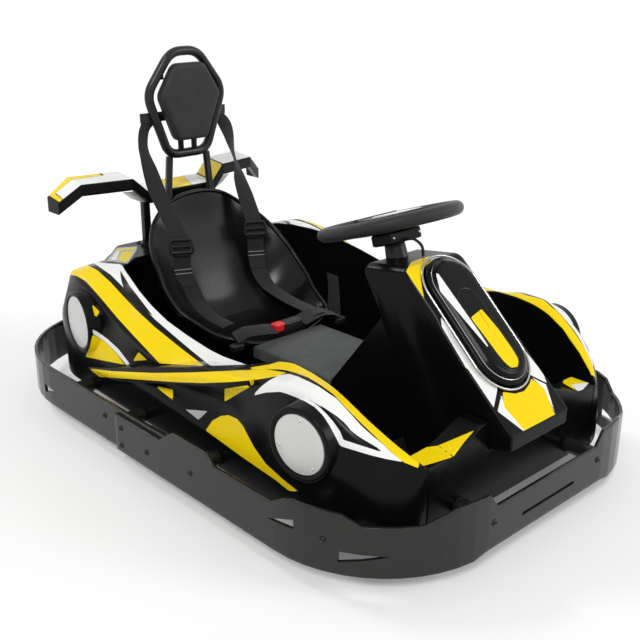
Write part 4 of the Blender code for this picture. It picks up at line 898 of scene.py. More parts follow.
def fine_copy(node, material, rounding, cell=None, segments=3):
    """Welded copy of a node with rounded edges, split until no edge is longer than the cell."""
    shape = bmesh.new()
    shape.from_mesh(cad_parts[node].data)
    bmesh.ops.remove_doubles(shape, verts=shape.verts, dist=0.00005)
    bmesh.ops.dissolve_limit(shape, angle_limit=math.radians(1), verts=shape.verts, edges=shape.edges)
    sharp = [edge for edge in shape.edges if edge.is_manifold and edge.calc_face_angle() > math.radians(28)]
    if rounding:
        bmesh.ops.bevel(shape, geom=sharp, offset=rounding, offset_type="OFFSET", segments=segments,
                        profile=0.5, affect="EDGES", clamp_overlap=True)
    bmesh.ops.triangulate(shape, faces=[face for face in shape.faces if len(face.verts) > 4])
    for _round in range(6 if cell else 0):
        long = [edge for edge in shape.edges if edge.calc_length() > cell]
        if not long:
            break
        bmesh.ops.subdivide_edges(shape, edges=long, cuts=1)
        bmesh.ops.triangulate(shape, faces=[face for face in shape.faces if len(face.verts) > 4])
    data = bpy.data.meshes.new(node + "_finished")
    shape.to_mesh(data)
    shape.free()
    data.shade_smooth()
    data.set_sharp_from_angle(angle=math.radians(35))
    data.materials.append(material)
    thing = bpy.data.objects.new(node + "_finished", data)
    bpy.context.scene.collection.objects.link(thing)
    on_kart(thing)
    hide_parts(node)
    return thing


plain_body = body_plastic("plain body plastic", BLACK[:3], 0.34, ())
cowl = fine_copy("front_cowl", painted, 0.004, 0.006)
paint(cowl, COWL_PAINT, mirrored=False)
deck = fine_copy("rear_deck", painted, 0.006, 0.008)
places = read_points(deck)
beside = np.clip((np.abs(places[:, 0]) - DECK_BLOCK[0]) / DECK_RAMP, 0, 1)
behind = np.clip((places[:, 1] - DECK_BLOCK[1]) / DECK_RAMP, 0, 1)
raised = np.maximum(places[:, 2] - DECK_SHELF, 0)
places[:, 2] -= raised * np.maximum(beside, behind) + rear_fall(places)
write_points(deck, places)
paint(deck, DECK_PAINT)
for side, word in SIDES:
    screw("deck_bolt_" + word, (side * DECK_BOLT[0], *DECK_BOLT[1:]), UPRIGHT, dark_bolt, 0.0085)
floor_pan = fine_copy("floor_pan", plain_body, 0.003)
for piece in (cowl, deck, floor_pan):
    print(piece.name, "faces:", len(piece.data.polygons))

# %% [markdown]
# ## Console
# The console is a sloped box, a little crowned across, whose face carries a long
# raised pod. Its side outline, with rounded corners, is carried across the kart in
# fine steps, crowded towards the sides so that the edges there come out round. It is
# narrower at the top than at the floor, and narrower again at the nose.

# %% Console
CONSOLE_FRONT_Y = -0.750
CONSOLE_WIDTH_LOW, CONSOLE_WIDTH_HIGH = 0.124, 0.100
CONSOLE_NARROWS = (0.225, 0.426)
CONSOLE_NOSE_LENGTH, CONSOLE_NOSE_WIDTH = 0.130, 0.103
CONSOLE_CROWN = 0.014
FACE_TOP, FACE_LOW = (0.314, 0.540), (0.0, 0.262)
# Distance behind the console's front, height, rounding.
CONSOLE_OUTLINE = np.array((
    (0.522, 0.1003, 0.002), (0.522, 0.225, 0.010), (0.379, 0.426, 0.020), (0.440, 0.522, 0.006),
    (0.314, 0.540, 0.012), (0.0, 0.262, 0.003), (0.0, 0.228, 0.003), (0.050, 0.215, 0.004),
    (0.125, 0.215, 0.004), (0.150, 0.1003, 0.002),
))
# Shares of the half width at even steps across, and how often each step is split.
CONSOLE_SHARES = np.array((-1.0, -0.985, -0.94, -0.78, -0.5, -0.25, 0.0, 0.25, 0.5, 0.78, 0.94, 0.985, 1.0))
CONSOLE_SPLIT = 8
CONSOLE_CELL = 0.006
# The side edges are rounded from this share on, by this much, and the crown rises over this share.
EDGE_SHARE, EDGE_ROUNDING, CROWN_SHARE = 0.94, 0.004, 0.22
NOSE_STEP, CROWN_STEP = 0.004, 0.03
FILM_BORDER, NOSE_BORDER = 0.0045, 0.001


def console_rings():
    """The side outline at each share of the width, drawn in a little next to the sides."""
    outline = refine(soften(CONSOLE_OUTLINE[None, :, :2], CONSOLE_OUTLINE[:, 2]), CONSOLE_CELL)[0]
    behind, z = outline.T
    middle = outline.mean(0)
    half = np.interp(z, CONSOLE_NARROWS, (CONSOLE_WIDTH_LOW, CONSOLE_WIDTH_HIGH))
    into_nose = np.clip((CONSOLE_NOSE_LENGTH + NOSE_STEP - behind) / NOSE_STEP, 0, 1)
    half = half + (CONSOLE_NOSE_WIDTH - half) * into_nose
    last = len(CONSOLE_SHARES) - 1
    shares = np.interp(np.linspace(0, last, last * CONSOLE_SPLIT + 1), np.arange(last + 1), CONSOLE_SHARES)
    edge = np.clip((np.abs(shares) - EDGE_SHARE) / (1 - EDGE_SHARE), 0, 1)
    drawn = EDGE_ROUNDING * (1 - np.sqrt(1 - edge**2))
    rise = CONSOLE_CROWN * np.clip((1 - np.abs(shares)) / CROWN_SHARE, 0, 1)
    rise = rise * (2 - rise / CONSOLE_CROWN)
    lifted = np.clip((z - CONSOLE_NARROWS[1]) / CROWN_STEP, 0, 1)
    away = outline - middle
    away = away / np.linalg.norm(away, axis=1, keepdims=True)
    y = CONSOLE_FRONT_Y + behind[None] - drawn[:, None] * away[None, :, 0]
    up = z[None] - drawn[:, None] * away[None, :, 1] + rise[:, None] * lifted[None]
    return np.stack((shares[:, None] * half[None], y, up), 2)


def on_console_face(places):
    """How far inside the sloped face a place lies, less a narrow bare border."""
    half = np.interp(places[:, 2], CONSOLE_NARROWS, (CONSOLE_WIDTH_LOW, CONSOLE_WIDTH_HIGH))
    half = np.where(places[:, 1] < CONSOLE_FRONT_Y + CONSOLE_NOSE_LENGTH, CONSOLE_NOSE_WIDTH, half)
    return np.minimum(half - np.abs(places[:, 0]) - FILM_BORDER, places[:, 2] - FACE_LOW[1] - NOSE_BORDER)


console = skin("console_shell", console_rings(), painted, angle=45)
paint(console, CONSOLE_PAINT, mirrored=False, allowed=on_console_face)
on_kart(console)
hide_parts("console")
print(console.name, "faces:", len(console.data.polygons))

# %% [markdown]
# The raised pod is a stack of long rounded outlines, each lifted off the sloping
# face and a little smaller than the last, with the films printed on its top. A thin
# silver edging runs round its foot, a finer one round its step, and a low ridge round
# the tongue on its top. The finer one's silver is a painted highlight along the edge
# of the step.

# %% Console pod
# Lift off the face, half width, first and last place down the face.
POD_STEPS = np.array((
    (0.0003, 0.0750, 0.000, 0.335), (0.0060, 0.0750, 0.000, 0.335), (0.0095, 0.0742, 0.001, 0.334),
    (0.0115, 0.0720, 0.004, 0.331), (0.0135, 0.0670, 0.009, 0.326), (0.0190, 0.0610, 0.015, 0.320),
    (0.0215, 0.0585, 0.018, 0.317), (0.0230, 0.0560, 0.021, 0.314), (0.0240, 0.0520, 0.025, 0.310),
    (0.0246, 0.0460, 0.031, 0.304), (0.0249, 0.0400, 0.037, 0.298), (0.0250, 0.0340, 0.043, 0.292),
    (0.0251, 0.0280, 0.049, 0.286), (0.0252, 0.0200, 0.057, 0.278), (0.0252, 0.0100, 0.067, 0.268),
    (0.0252, 0.0006, 0.076, 0.259),
))
ARC_STEPS, STRAIGHT_STEPS = 44, 38
# Half width, first and last place down the face, lift, shift aside, and the tube's radius.
EDGING = ((0.0825, -0.0075, 0.3425, 0.0030, 0.0), 0.0028)
TONGUE = ((0.0305, 0.094, 0.306, 0.0250, -0.005), 0.0012)
# The bead sits on the step's edge, and its silver is the painted highlight along that edge.
HIGHLIGHT_BEAD = ((0.0655, 0.0105, 0.3245, 0.0138, 0.0), 0.0011)


def on_face(across, along, lift):
    """Point on the sloped face: across it, down it from its top, and off it."""
    top = np.array((0.0, CONSOLE_FRONT_Y + FACE_TOP[0], FACE_TOP[1] + CONSOLE_CROWN))
    low = np.array((0.0, CONSOLE_FRONT_Y + FACE_LOW[0], FACE_LOW[1]))
    down = (low - top) / np.linalg.norm(low - top)
    out = np.array((0.0, down[2], -down[1]))
    across, along, lift = (np.asarray(part, float)[..., None] for part in (across, along, lift))
    return top + down * along + out * lift + np.array((1.0, 0.0, 0.0)) * across


def stadium(half, first, last, lift, aside=0.0):
    """Long outline with round ends: two half circles, joined by straight sides in fine steps."""
    turn = np.linspace(0, math.pi, ARC_STEPS)
    straight = np.linspace(0, 1, STRAIGHT_STEPS + 2)[1:-1]
    low, high = last - half, first + half
    x = np.concatenate((half * np.cos(turn), np.full(STRAIGHT_STEPS, -half), -half * np.cos(turn),
                        np.full(STRAIGHT_STEPS, half)))
    down = np.concatenate((low + half * np.sin(turn), low + (high - low) * straight,
                           high - half * np.sin(turn), high + (low - high) * straight))
    return on_face(x + aside, down, np.full(len(x), lift))


steps = [stadium(half, first, last, lift) for lift, half, first, last in POD_STEPS]
crest = skin("console_crest", np.stack(steps), painted)
paint(crest, CREST_PAINT, mirrored=False)
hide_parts("console_pod")
on_kart(crest,
        pipe("crest_edging", stadium(*EDGING[0]), EDGING[1], silver_trim_and_highlight, 12, looped=True),
        pipe("crest_tongue", stadium(*TONGUE[0]), TONGUE[1], glossy_black, 8, looped=True),
        pipe("crest_highlight_bead", stadium(*HIGHLIGHT_BEAD[0]), HIGHLIGHT_BEAD[1], silver_trim_and_highlight, 8, looped=True))
print(crest.name, "faces:", len(crest.data.polygons))

# %% [markdown]
# ## Bumper
# Two bent strips of thick plastic, front and rear, run round the whole kart. Finer
# copies of the CAD strips keep their stepped edges. The small openings are cut with
# prisms, whose corners are listed as distances along the strip, because a bent strip
# is easiest to mark out flat. Bolts sit on the outside where the stand-offs meet it.

# %% Bumper strips and bolts
BUMPER_HALF_WIDTH, BUMPER_FRONT_Y, FRONT_CORNER = 0.52, -0.785, 0.309
BOLT_RADIUS = 0.0078
# Distance along the strip from its middle, and height.
FRONT_BOLTS = ((0.193, 0.114), (0.574, 0.118), (0.985, 0.106), (1.160, 0.088), (1.270, 0.111), (1.272, 0.064))
REAR_BOLT = (0.5122, 0.185, 0.112)
# How far a cutter starts outside the strip, and how far in it ends.
CUTTER_REACH = (0.02, 0.03)
# Openings: corners as distance along the front strip and height.
OPENINGS = (
    ((0.717, 0.1136), (0.642, 0.1414), (0.642, 0.1198)),
    ((0.541, 0.0989), (0.437, 0.0963), (0.541, 0.0746)),
)
SLOT = ((-0.097, 0.0890), (-0.090, 0.0885), (0.097, 0.0885), (0.102, 0.0930), (0.094, 0.0970),
        (-0.092, 0.0965))
# Corners of the rear opening as y and height.
REAR_OPENING = ((0.504, 0.093), (0.500, 0.0705), (0.436, 0.0894))


def on_front_strip(along, side):
    """Point on the front strip's outer line: straight, then round the corner, then straight."""
    flat = BUMPER_HALF_WIDTH - FRONT_CORNER
    arc = FRONT_CORNER * math.pi / 2
    turn = min(max((along - flat) / FRONT_CORNER, 0.0), math.pi / 2)
    x = min(along, flat) + FRONT_CORNER * math.sin(turn)
    y = BUMPER_FRONT_Y + FRONT_CORNER * (1 - math.cos(turn)) + max(0.0, along - flat - arc)
    return (side * x, y), (side * math.sin(turn), -math.cos(turn))


def cutter(outer, inward):
    """Prism that reaches from just outside a strip to well inside it."""
    outer, inward = np.asarray(outer, float), np.asarray(inward, float)
    return prism("cutter", outer - inward * CUTTER_REACH[0], outer + inward * CUTTER_REACH[1], bumper_finish)


def cut_out(thing, cutters):
    """Takes the cutters out of a piece, one after another, and removes them."""
    for each in cutters:
        step = thing.modifiers.new("opening", "BOOLEAN")
        step.operation, step.solver, step.object = "DIFFERENCE", "EXACT", each
    bpy.context.view_layer.update()
    solved = thing.evaluated_get(bpy.context.evaluated_depsgraph_get())
    shape = bpy.data.meshes.new_from_object(solved)
    thing.modifiers.clear()
    thing.data = shape
    shape.set_sharp_from_angle(angle=math.radians(35))
    for each in cutters:
        bpy.data.objects.remove(each)


def front_cutter(corners, side):
    """Cutter through the front strip, from corners given along it."""
    spots = [on_front_strip(abs(along), side if along >= 0 else -side) for along, _z in corners]
    outer = [(x, y, z) for ((x, y), _out), (_along, z) in zip(spots, corners)]
    return cutter(outer, [(-out_x, -out_y, 0.0) for _place, (out_x, out_y) in spots])


STRIPS = ("bumper_front_strip", "bumper_rear_strip")
strips = {node: fine_copy(node, bumper_finish, 0.0015, 0.014, 2) for node in STRIPS}
front = [front_cutter(corners, side) for corners in OPENINGS for side in (-1, 1)] + [front_cutter(SLOT, 1)]
rear = [cutter([(side * REAR_BOLT[0], y, z) for y, z in REAR_OPENING], [(-side, 0, 0)] * len(REAR_OPENING))
        for side in (-1, 1)]
cut_out(strips["bumper_front_strip"], front)
cut_out(strips["bumper_rear_strip"], rear)
for node, strip in strips.items():
    print(strip.name, "faces:", len(strip.data.polygons))
for side, word in SIDES:
    screw("rear_bolt_" + word, (side * REAR_BOLT[0], *REAR_BOLT[1:]), (side, 0, 0), dark_bolt, BOLT_RADIUS)
    for k, (along, height) in enumerate(FRONT_BOLTS):
        (x, y), (out_x, out_y) = on_front_strip(along, side)
        screw(f"bumper_bolt_{word}_{k}", (x, y, height), (out_x, out_y, 0.0), dark_bolt, BOLT_RADIUS)

# %% [markdown]
# ## Seat
# The bucket seat is one deep sheet: eleven rows across it, from the front edge up to
# the top of the back, each hollowed by a power curve and drawn up to its flange. A
# smooth curve runs through the rows, Solidify gives the sheet its wall, and a rolled
# edge is carried round its rim, whose path is averaged until the corners are round.

# %% Seat shell
SEAT_FRONT_Y = 0.075
SEAT_HALF_WIDTH = 0.235
SEAT_WALL = 0.009
SEAT_HOLLOW = 2.6
# centre y, centre z, narrower by, flange y, flange z.
SEAT_ROWS = np.array((
    (0.000, 0.214, 0.070, 0.010, 0.250),
    (0.055, 0.203, 0.040, 0.055, 0.256),
    (0.125, 0.193, 0.020, 0.127, 0.281),
    (0.190, 0.193, 0.001, 0.173, 0.308),
    (0.250, 0.208, 0.000, 0.205, 0.334),
    (0.293, 0.250, 0.001, 0.231, 0.358),
    (0.321, 0.305, 0.008, 0.257, 0.387),
    (0.343, 0.365, 0.024, 0.313, 0.438),
    (0.363, 0.430, 0.046, 0.345, 0.470),
    (0.380, 0.492, 0.072, 0.372, 0.494),
    (0.395, 0.557, 0.112, 0.389, 0.523),
))
SEAT_STEPS_ALONG, SEAT_STEPS_ACROSS = 120, 61
FLANGE_RADIUS, FLANGE_ROUNDS = 0.0062, 30


def seat_sheet():
    """Inner face of the seat: rows across, raised to the flange as the share to a power."""
    last = len(SEAT_ROWS) - 1
    rows = smooth_table(np.arange(last + 1), SEAT_ROWS, np.linspace(0, last, SEAT_STEPS_ALONG))
    centre_y, centre_z, narrower, flange_y, flange_z = rows.T[:, :, None]
    share = np.sin(np.linspace(-math.pi / 2, math.pi / 2, SEAT_STEPS_ACROSS))[None]
    rise = np.abs(share) ** SEAT_HOLLOW
    x = share * (SEAT_HALF_WIDTH - narrower)
    return np.stack((x, SEAT_FRONT_Y + centre_y + (flange_y - centre_y) * rise,
                     centre_z + (flange_z - centre_z) * rise), 2)


sheet_points = seat_sheet()
seat = skin("seat_bucket", sheet_points, seat_finish, closed=False, caps=False, angle=60)
wall = seat.modifiers.new("wall", "SOLIDIFY")
wall.thickness = SEAT_WALL
wall.offset = 1.0 if seat.data.polygons[0].normal.z < 0 else -1.0
rim_path = np.concatenate((sheet_points[:, 0], sheet_points[-1, 1:], sheet_points[-2::-1, -1],
                           sheet_points[0, -2:0:-1]))
for _round in range(FLANGE_ROUNDS):
    rim_path = (np.roll(rim_path, 1, 0) + 2 * rim_path + np.roll(rim_path, -1, 0)) / 4
flange = pipe("seat_flange", rim_path, FLANGE_RADIUS, seat_finish, 14, looped=True)
on_kart(seat, flange)
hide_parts("seat_shell")
print(seat.name, "faces:", len(seat.data.polygons))

# %% [markdown]
# ## Cushion on the tunnel
# A firm pad with a stretched skin lies between the console and the seat. Cloth
# simulation would swell a soft cushion, but foam this firm keeps its block's shape,
# so it is made directly: a grid on the plan, lifted in the middle by a product of two
# round curves and rounded off towards its edges, over a flat foot.

# %% Tunnel cushion
CUSHION_CROWN = 0.010
PAD_STEPS_ACROSS = 48
# The power that squares off the pad's edge in plan, and how deep its rounding goes.
EDGE_POWER, EDGE_DEPTH = 7.0, 0.55


def pad(name, low, high, crown, material):
    """Crowned top and flat foot on one squeezed grid, joined round their edges."""
    n = PAD_STEPS_ACROSS
    share = np.sin(np.linspace(-math.pi / 2, math.pi / 2, n))
    u, v = np.meshgrid(share, share, indexing="ij")
    fall = (1 - np.maximum(np.abs(u), np.abs(v)) ** EDGE_POWER) ** (1 / EDGE_POWER)
    low, high = np.array(low), np.array(high)
    middle, half = (low + high) / 2, (high - low) / 2
    x, y = middle[0] + half[0] * u, middle[1] + half[1] * v
    rounded = (high[2] - low[2]) * EDGE_DEPTH * (1 - fall)
    z = high[2] - crown - rounded + crown * (1 - u**2) * (1 - v**2)
    sheets = np.concatenate((np.stack((x, y, z), 2).reshape(-1, 3),
                             np.stack((x, y, np.full_like(z, low[2])), 2).reshape(-1, 3)))
    i, j = (part.ravel() for part in np.meshgrid(np.arange(n - 1), np.arange(n - 1), indexing="ij"))
    quads = np.stack((i * n + j, (i + 1) * n + j, (i + 1) * n + j + 1, i * n + j + 1), 1)
    end = n * n
    edge = [*range(n - 1), *range(n - 1, end - 1, n), *range(end - 1, end - n, -1), *range(end - n, 0, -n)]
    walls = [[p, q, q + end, p + end] for p, q in zip(edge, edge[1:] + edge[:1])]
    faces = quads.tolist() + (quads[:, ::-1] + end).tolist() + walls
    return as_piece(name, sheets, faces, material, angle=50)


cushion_low, cushion_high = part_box("tunnel_cushion")
cushion = pad("cushion", cushion_low, cushion_high, CUSHION_CROWN, foam)
on_kart(cushion)
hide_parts("tunnel_cushion")
print("cushion top:", round(cushion_high.z, 3))

# %% [markdown]
# ## Harness
# The webbing is 48 mm wide and about 2 mm thick. Each band is a path with a direction
# across it, and its turn changes along the path, as the real bands twist between the
# head rest and the seat. Webbing is stiff across and lies where it is pulled, so the
# paths are listed, each side its own, rather than simulated. The UV map holds
# metres along and across, so the weave keeps its size. An adjuster and a keeper sit
# on each band, with a short doubled end under them.

# %% Bands
BAND_WIDTH, BAND_THICKNESS = 0.048, 0.0022
# Above the seat for the right (-1) and the left side: x, y, z, turn in degrees.
HANGING = {
    -1: ((0.120, 0.4340, 0.7614, 0), (0.140, 0.4300, 0.735, 20),
         (0.150, 0.419, 0.690, 25), (0.148, 0.395, 0.635, 0)),
    1: ((0.120, 0.4340, 0.7614, 0), (0.140, 0.4300, 0.735, 0),
        (0.150, 0.419, 0.690, 20), (0.148, 0.395, 0.635, 45)),
}
# In the seat: share of its half width, y, z, turn.
IN_SEAT = {
    -1: ((0.617, 0.370, 0.580, -25), (0.592, 0.330, 0.520, -30), (0.562, 0.287, 0.443, -30),
         (0.562, 0.285, 0.372, -25), (0.520, 0.270, 0.330, -15), (0.460, 0.248, 0.278, 0),
         (0.404, 0.205, 0.244, 10), (0.362, 0.145, 0.232, 10)),
    1: ((0.617, 0.370, 0.580, 10), (0.592, 0.330, 0.520, -20), (0.562, 0.287, 0.443, -30),
        (0.562, 0.285, 0.372, -30), (0.550, 0.266, 0.318, -20), (0.572, 0.222, 0.274, -8),
        (0.530, 0.100, 0.261, -5), (0.440, -0.022, 0.266, -5)),
}
# Metres down each band, where the adjuster, the keeper and the end of the doubled part lie.
ADJUSTER_AT, KEEPER_AT, TAIL_AT = 0.365, 0.4375, 0.487
# Half length, half width, lift off the band, the frame's tube, and the bars' places and tubes.
ADJUSTER = (0.022, 0.031, 0.0045, 0.0036, ((-0.15, 0.0034), (0.62, 0.0060)))
# The keeper itself is black: its two silver bars, one at each end, are painted highlights along its edges.
KEEPER = (0.0060, 0.0255, 0.0040, 0.0010, ((-0.95, 0.0011), (0.95, 0.0011)))
# Corners of an adjuster's frame, as shares of its half width and half length.
FRAME_CORNERS = np.array(((-0.9, -1), (0.9, -1), (1.05, 0.6), (0.6, 1), (-0.6, 1), (-1.05, 0.6)))
TAIL_LIFT = 0.0035


def band(name, path, across, width=BAND_WIDTH, bow=0.0015, material=webbing):
    """Flat band: seven points across each face, bowed a little, along a path."""
    path, across = np.asarray(path, float), np.asarray(across, float)
    across = across / np.linalg.norm(across, axis=1, keepdims=True)
    along = np.gradient(path, axis=0)
    out = np.cross(along, across)
    out /= np.linalg.norm(out, axis=1, keepdims=True)
    share = np.linspace(-1, 1, 7)
    face = path[:, None] + across[:, None] * (share * width / 2)[None, :, None]
    lift = (BAND_THICKNESS / 2 * np.sqrt(np.clip(1.02 - share**2, 0.05, 1)))[None, :, None]
    bowed = out[:, None] * (bow * (1 - share**2))[None, :, None]
    grid = np.concatenate((face + bowed + out[:, None] * lift,
                           (face + bowed - out[:, None] * lift)[:, ::-1]), axis=1)
    made = skin(name, grid, material, angle=55)
    places = read_points(made)
    nearest = np.linalg.norm(places[:, None] - path[None], axis=2).argmin(1)
    sideways = ((places - path[nearest]) * across[nearest]).sum(1)
    ahead = along[nearest] / np.linalg.norm(along, axis=1)[nearest, None]
    onward = ((places - path[nearest]) * ahead).sum(1)
    flat = np.stack((sideways, run_along(path)[nearest] + onward), 1)
    corners = np.array([loop.vertex_index for loop in made.data.loops])
    layer = made.data.uv_layers.new(name="UVMap")
    layer.data.foreach_set("uv", flat[corners].ravel())
    on_kart(made)
    return made


def shoulder_band(side):
    """Path of a shoulder band, and the direction across it from its turn."""
    in_seat = np.array(IN_SEAT[side])
    in_seat[:, 0] *= SEAT_HALF_WIDTH
    table = np.vstack((HANGING[side], in_seat))
    table[:, 0] *= side
    table[:, 1] += SEAT_FRONT_Y
    smooth = flowing(table, 12)
    turn = np.radians(smooth[:, 3])
    return smooth[:, :3], np.stack((np.cos(turn), np.sin(turn), 0 * turn), 1)


def row_at(path, distance):
    """The first point that lies so far down a path."""
    return int(np.searchsorted(run_along(path)[1:], distance)) + 1


def plate_on(name, path, across, distance, sizes, bar_material):
    """Rounded frame with bars across it, lying on a band so many metres down it."""
    half_length, half_width, lift, tube, bars = sizes
    k = row_at(path, distance)
    along = path[k + 1] - path[k - 1]
    along /= np.linalg.norm(along)
    side = across[k] / np.linalg.norm(across[k])
    out = np.cross(along, side)
    if out @ (CAMERA_PLACE - path[k]) < 0:
        out = -out
    centre = path[k] + out * lift
    ring = soften(FRAME_CORNERS[None], 0.2, 4)[0]
    loop = centre + ring[:, :1] * half_width * side + ring[:, 1:] * half_length * along
    on_kart(pipe(name, loop, tube, buckle_finish, 8, looped=True))
    for n, (at, thick) in enumerate(bars):
        reach = np.linspace(-0.92, 0.92, 6)[:, None] * half_width
        ends = centre + along * half_length * at + side * reach + out * 0.001
        on_kart(pipe(f"{name}_bar_{n}", ends, thick, bar_material, 8))
    return out


for side, word in SIDES:
    route, across = shoulder_band(side)
    strap = band("shoulder_band_" + word, route, across)
    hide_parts("shoulder_strap_" + word)
    plate_on("adjuster_" + word, route, across, ADJUSTER_AT, ADJUSTER, buckle_finish)
    # The keeper's bars are silver as painted highlights on the black keeper.
    out = plate_on("keeper_" + word, route, across, KEEPER_AT, KEEPER, silver_trim_and_highlight)
    part = slice(row_at(route, KEEPER_AT) - 2, row_at(route, TAIL_AT))
    tail = band("tail_" + word, route[part] + out * TAIL_LIFT, across[part], bow=0.0005)

# %% [markdown]
# The lap belts run from the seat's sides to a block buckle on the cushion, which is a
# dark rounded housing with a red button at its end. A spare grey band hangs down the
# cockpit's far wall. Blocks like these are an outline in plan, rounded and stacked in
# steps that also round the lower and the upper edges.

# %% Lap belts and buckle
# Share of the seat's half width, y, z for the right (-1) and the left side.
LAP_ROUTES = {
    -1: ((0.725, 0.008, 0.259), (0.560, 0.000, 0.270), (0.400, -0.014, 0.269)),
    1: ((0.800, 0.000, 0.241), (0.620, -0.004, 0.258), (0.420, -0.010, 0.268)),
}
# Where each belt's anchor block starts: x, y, z.
LAP_ANCHORS = {-1: (0.177, 0.056, 0.230), 1: (0.190, 0.052, 0.214)}
ANCHOR_SIZE = np.array((0.038, 0.024, 0.018))
BUCKLE_SHIFT = Vector((0.0, 0.018, 0.006))
BUCKLE_NOSE, BUTTON_INSET = 0.026, 0.003
LAP_LEAN = np.array((0.25, 0.9, 0.25))
LAP_WIDTH, SPARE_WIDTH = 0.047, 0.080
SPARE_ROUTE = ((0.3440, 0.266, 0.280), (0.3455, 0.262, 0.240), (0.3455, 0.258, 0.200), (0.3440, 0.254, 0.155))
buckle_low, buckle_high = (corner + BUCKLE_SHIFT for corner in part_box("buckle"))


def rounded_block(name, low, high, rounding, material):
    """Box outline in plan, rounded, stacked in steps that round its lower and upper edges."""
    low, high = np.asarray(low, float), np.asarray(high, float)
    t = np.linspace(0, math.pi / 2, 5)
    lift = np.concatenate((low[2] + rounding * (1 - np.cos(t)), high[2] - rounding * (1 - np.sin(t))))
    inset = np.concatenate((rounding * (1 - np.sin(t)), rounding * (1 - np.cos(t))))
    middle, half = (low + high) / 2, (high - low) / 2
    corner = np.array(((-1, -1), (1, -1), (1, 1), (-1, 1)), float)
    rings = middle[None, None, :2] + corner[None] * (half[:2] - inset[:, None])[:, None]
    rings = soften(rings, rounding * 1.6, 6)
    z = np.broadcast_to(lift[:, None, None], (*rings.shape[:2], 1))
    return skin(name, np.concatenate((rings, z), 2), material, angle=50)


block = rounded_block("buckle_block", buckle_low, buckle_high, 0.005, buckle_finish)
button_low = (buckle_low.x - BUCKLE_NOSE, buckle_low.y + BUTTON_INSET, buckle_low.z + 0.004)
button_high = (buckle_low.x + 0.008, buckle_high.y - BUTTON_INSET, buckle_high.z + 0.001)
button = rounded_block("buckle_button", button_low, button_high, 0.004, button_red)
on_kart(block, button)
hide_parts("buckle")
middle = (buckle_low + buckle_high) / 2
for side, word in SIDES:
    table = np.array(LAP_ROUTES[side]) * (side * SEAT_HALF_WIDTH, 1, 1) + (0, SEAT_FRONT_Y, 0)
    end = side * (buckle_high.x + (BUCKLE_NOSE - 0.004 if side < 0 else 0.0003))
    route = flowing(np.vstack((table, (end, middle.y, middle.z))), 14)
    lean = np.broadcast_to(LAP_LEAN * (-side, 1, 1), route.shape)
    belt = band("lap_band_" + word, route, lean, LAP_WIDTH, bow=0.002)
    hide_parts("lap_belt_" + word)
    x, y, z = LAP_ANCHORS[side]
    low = np.array((side * x - ANCHOR_SIZE[0] / 2, y, z))
    on_kart(rounded_block("lap_anchor_" + word, low, low + ANCHOR_SIZE, 0.004, buckle_finish))
route = flowing(SPARE_ROUTE, 8)
upright = np.broadcast_to((0.0, 1.0, 0.0), route.shape)
spare = band("spare_band", route, upright, SPARE_WIDTH, material=grey_webbing)
print("buckle:", [round(v, 3) for v in buckle_low])

# %% [markdown]
# ## Head rest
# A six-sided foam pad sits in front of a bent tube ring, which stands on the CAD's
# frame of tubes. The pad's outline is stacked in steps: a soft rounded front face, a
# full edge, and a slightly wider back cover. The foam is firm and its face is flat,
# so it needs no cloth simulation either.

# %% Head rest
# Left halves of the outlines, as x and z from the top down.
PAD_OUTLINE = np.array(((0.050, 0.918), (0.1035, 0.833), (0.053, 0.706)))
RING_OUTLINE = np.array(((0.044, 0.9485), (0.128, 0.838), (0.066, 0.667)))
RING_TUBE, RING_CORNER, RING_BEHIND = 0.0130, 0.034, 0.0035
pad_low, pad_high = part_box("headrest_pad")
front, back = pad_low.y, pad_high.y
# y, inset of the outline, rounding of its corners.
PAD_STEPS = ((front, 0.030, 0.010), (front + 0.0002, 0.014, 0.012), (front + 0.001, 0.0095, 0.013),
             (front + 0.004, 0.0045, 0.015), (front + 0.009, 0.0012, 0.016), (front + 0.016, 0.0004, 0.016),
             (front + 0.019, 0.0008, 0.016), (front + 0.0195, 0.003, 0.016))
COVER_STEPS = ((front + 0.019, 0.003, 0.018), (front + 0.0195, 0.0002, 0.018), (back - 0.004, 0.0002, 0.018),
               (back - 0.001, 0.002, 0.017), (back, 0.006, 0.016))


def both_halves(outline):
    """The outline with its mirror image, from the other side back up."""
    return np.vstack((outline, outline[::-1] * (-1, 1)))


def upright_stack(name, outline, steps, material):
    """Six-sided outline in x and z, stacked along y with an inset for every step."""
    ring = both_halves(outline)
    middle = ring.mean(0)
    ring = ring - middle
    away = ring / np.linalg.norm(ring, axis=1, keepdims=True)
    rings = np.stack([soften((ring - inset * away)[None], size, 8)[0] for _y, inset, size in steps])
    rings = refine(rings, 0.008)
    x, z = (rings + middle).transpose(2, 0, 1)
    y = np.broadcast_to(np.array([step[0] for step in steps])[:, None], x.shape)
    return skin(name, np.stack((x, y, z), 2), material, angle=50)


head_pad = upright_stack("head_pad", PAD_OUTLINE, PAD_STEPS, head_foam)
head_cover = upright_stack("head_pad_back", PAD_OUTLINE, COVER_STEPS, foam_back)
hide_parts("headrest_pad")
fine_copy("headrest_frame", pad_steel, 0.0)
x, z = soften(both_halves(RING_OUTLINE)[None], RING_CORNER, 10)[0].T
ring_path = np.stack((x, np.full_like(x, back + RING_BEHIND), z), 1)
on_kart(head_pad, head_cover, pipe("head_ring", ring_path, RING_TUBE, pad_steel, 20, looped=True))
print("pad depth:", round(back - front, 3))

# %% [markdown]
# ## Wing
# The wing is a folded sheet: its section steps up and down across the kart, with a
# fascia in front, a lip below and a thin top. Rows are crowded next to each fold, so
# that it stays sharp. The films are printed on its top, drawn as outlines in x and in
# metres behind the front edge. Two posts carry it, with a grey plate behind the
# fascia beside each.

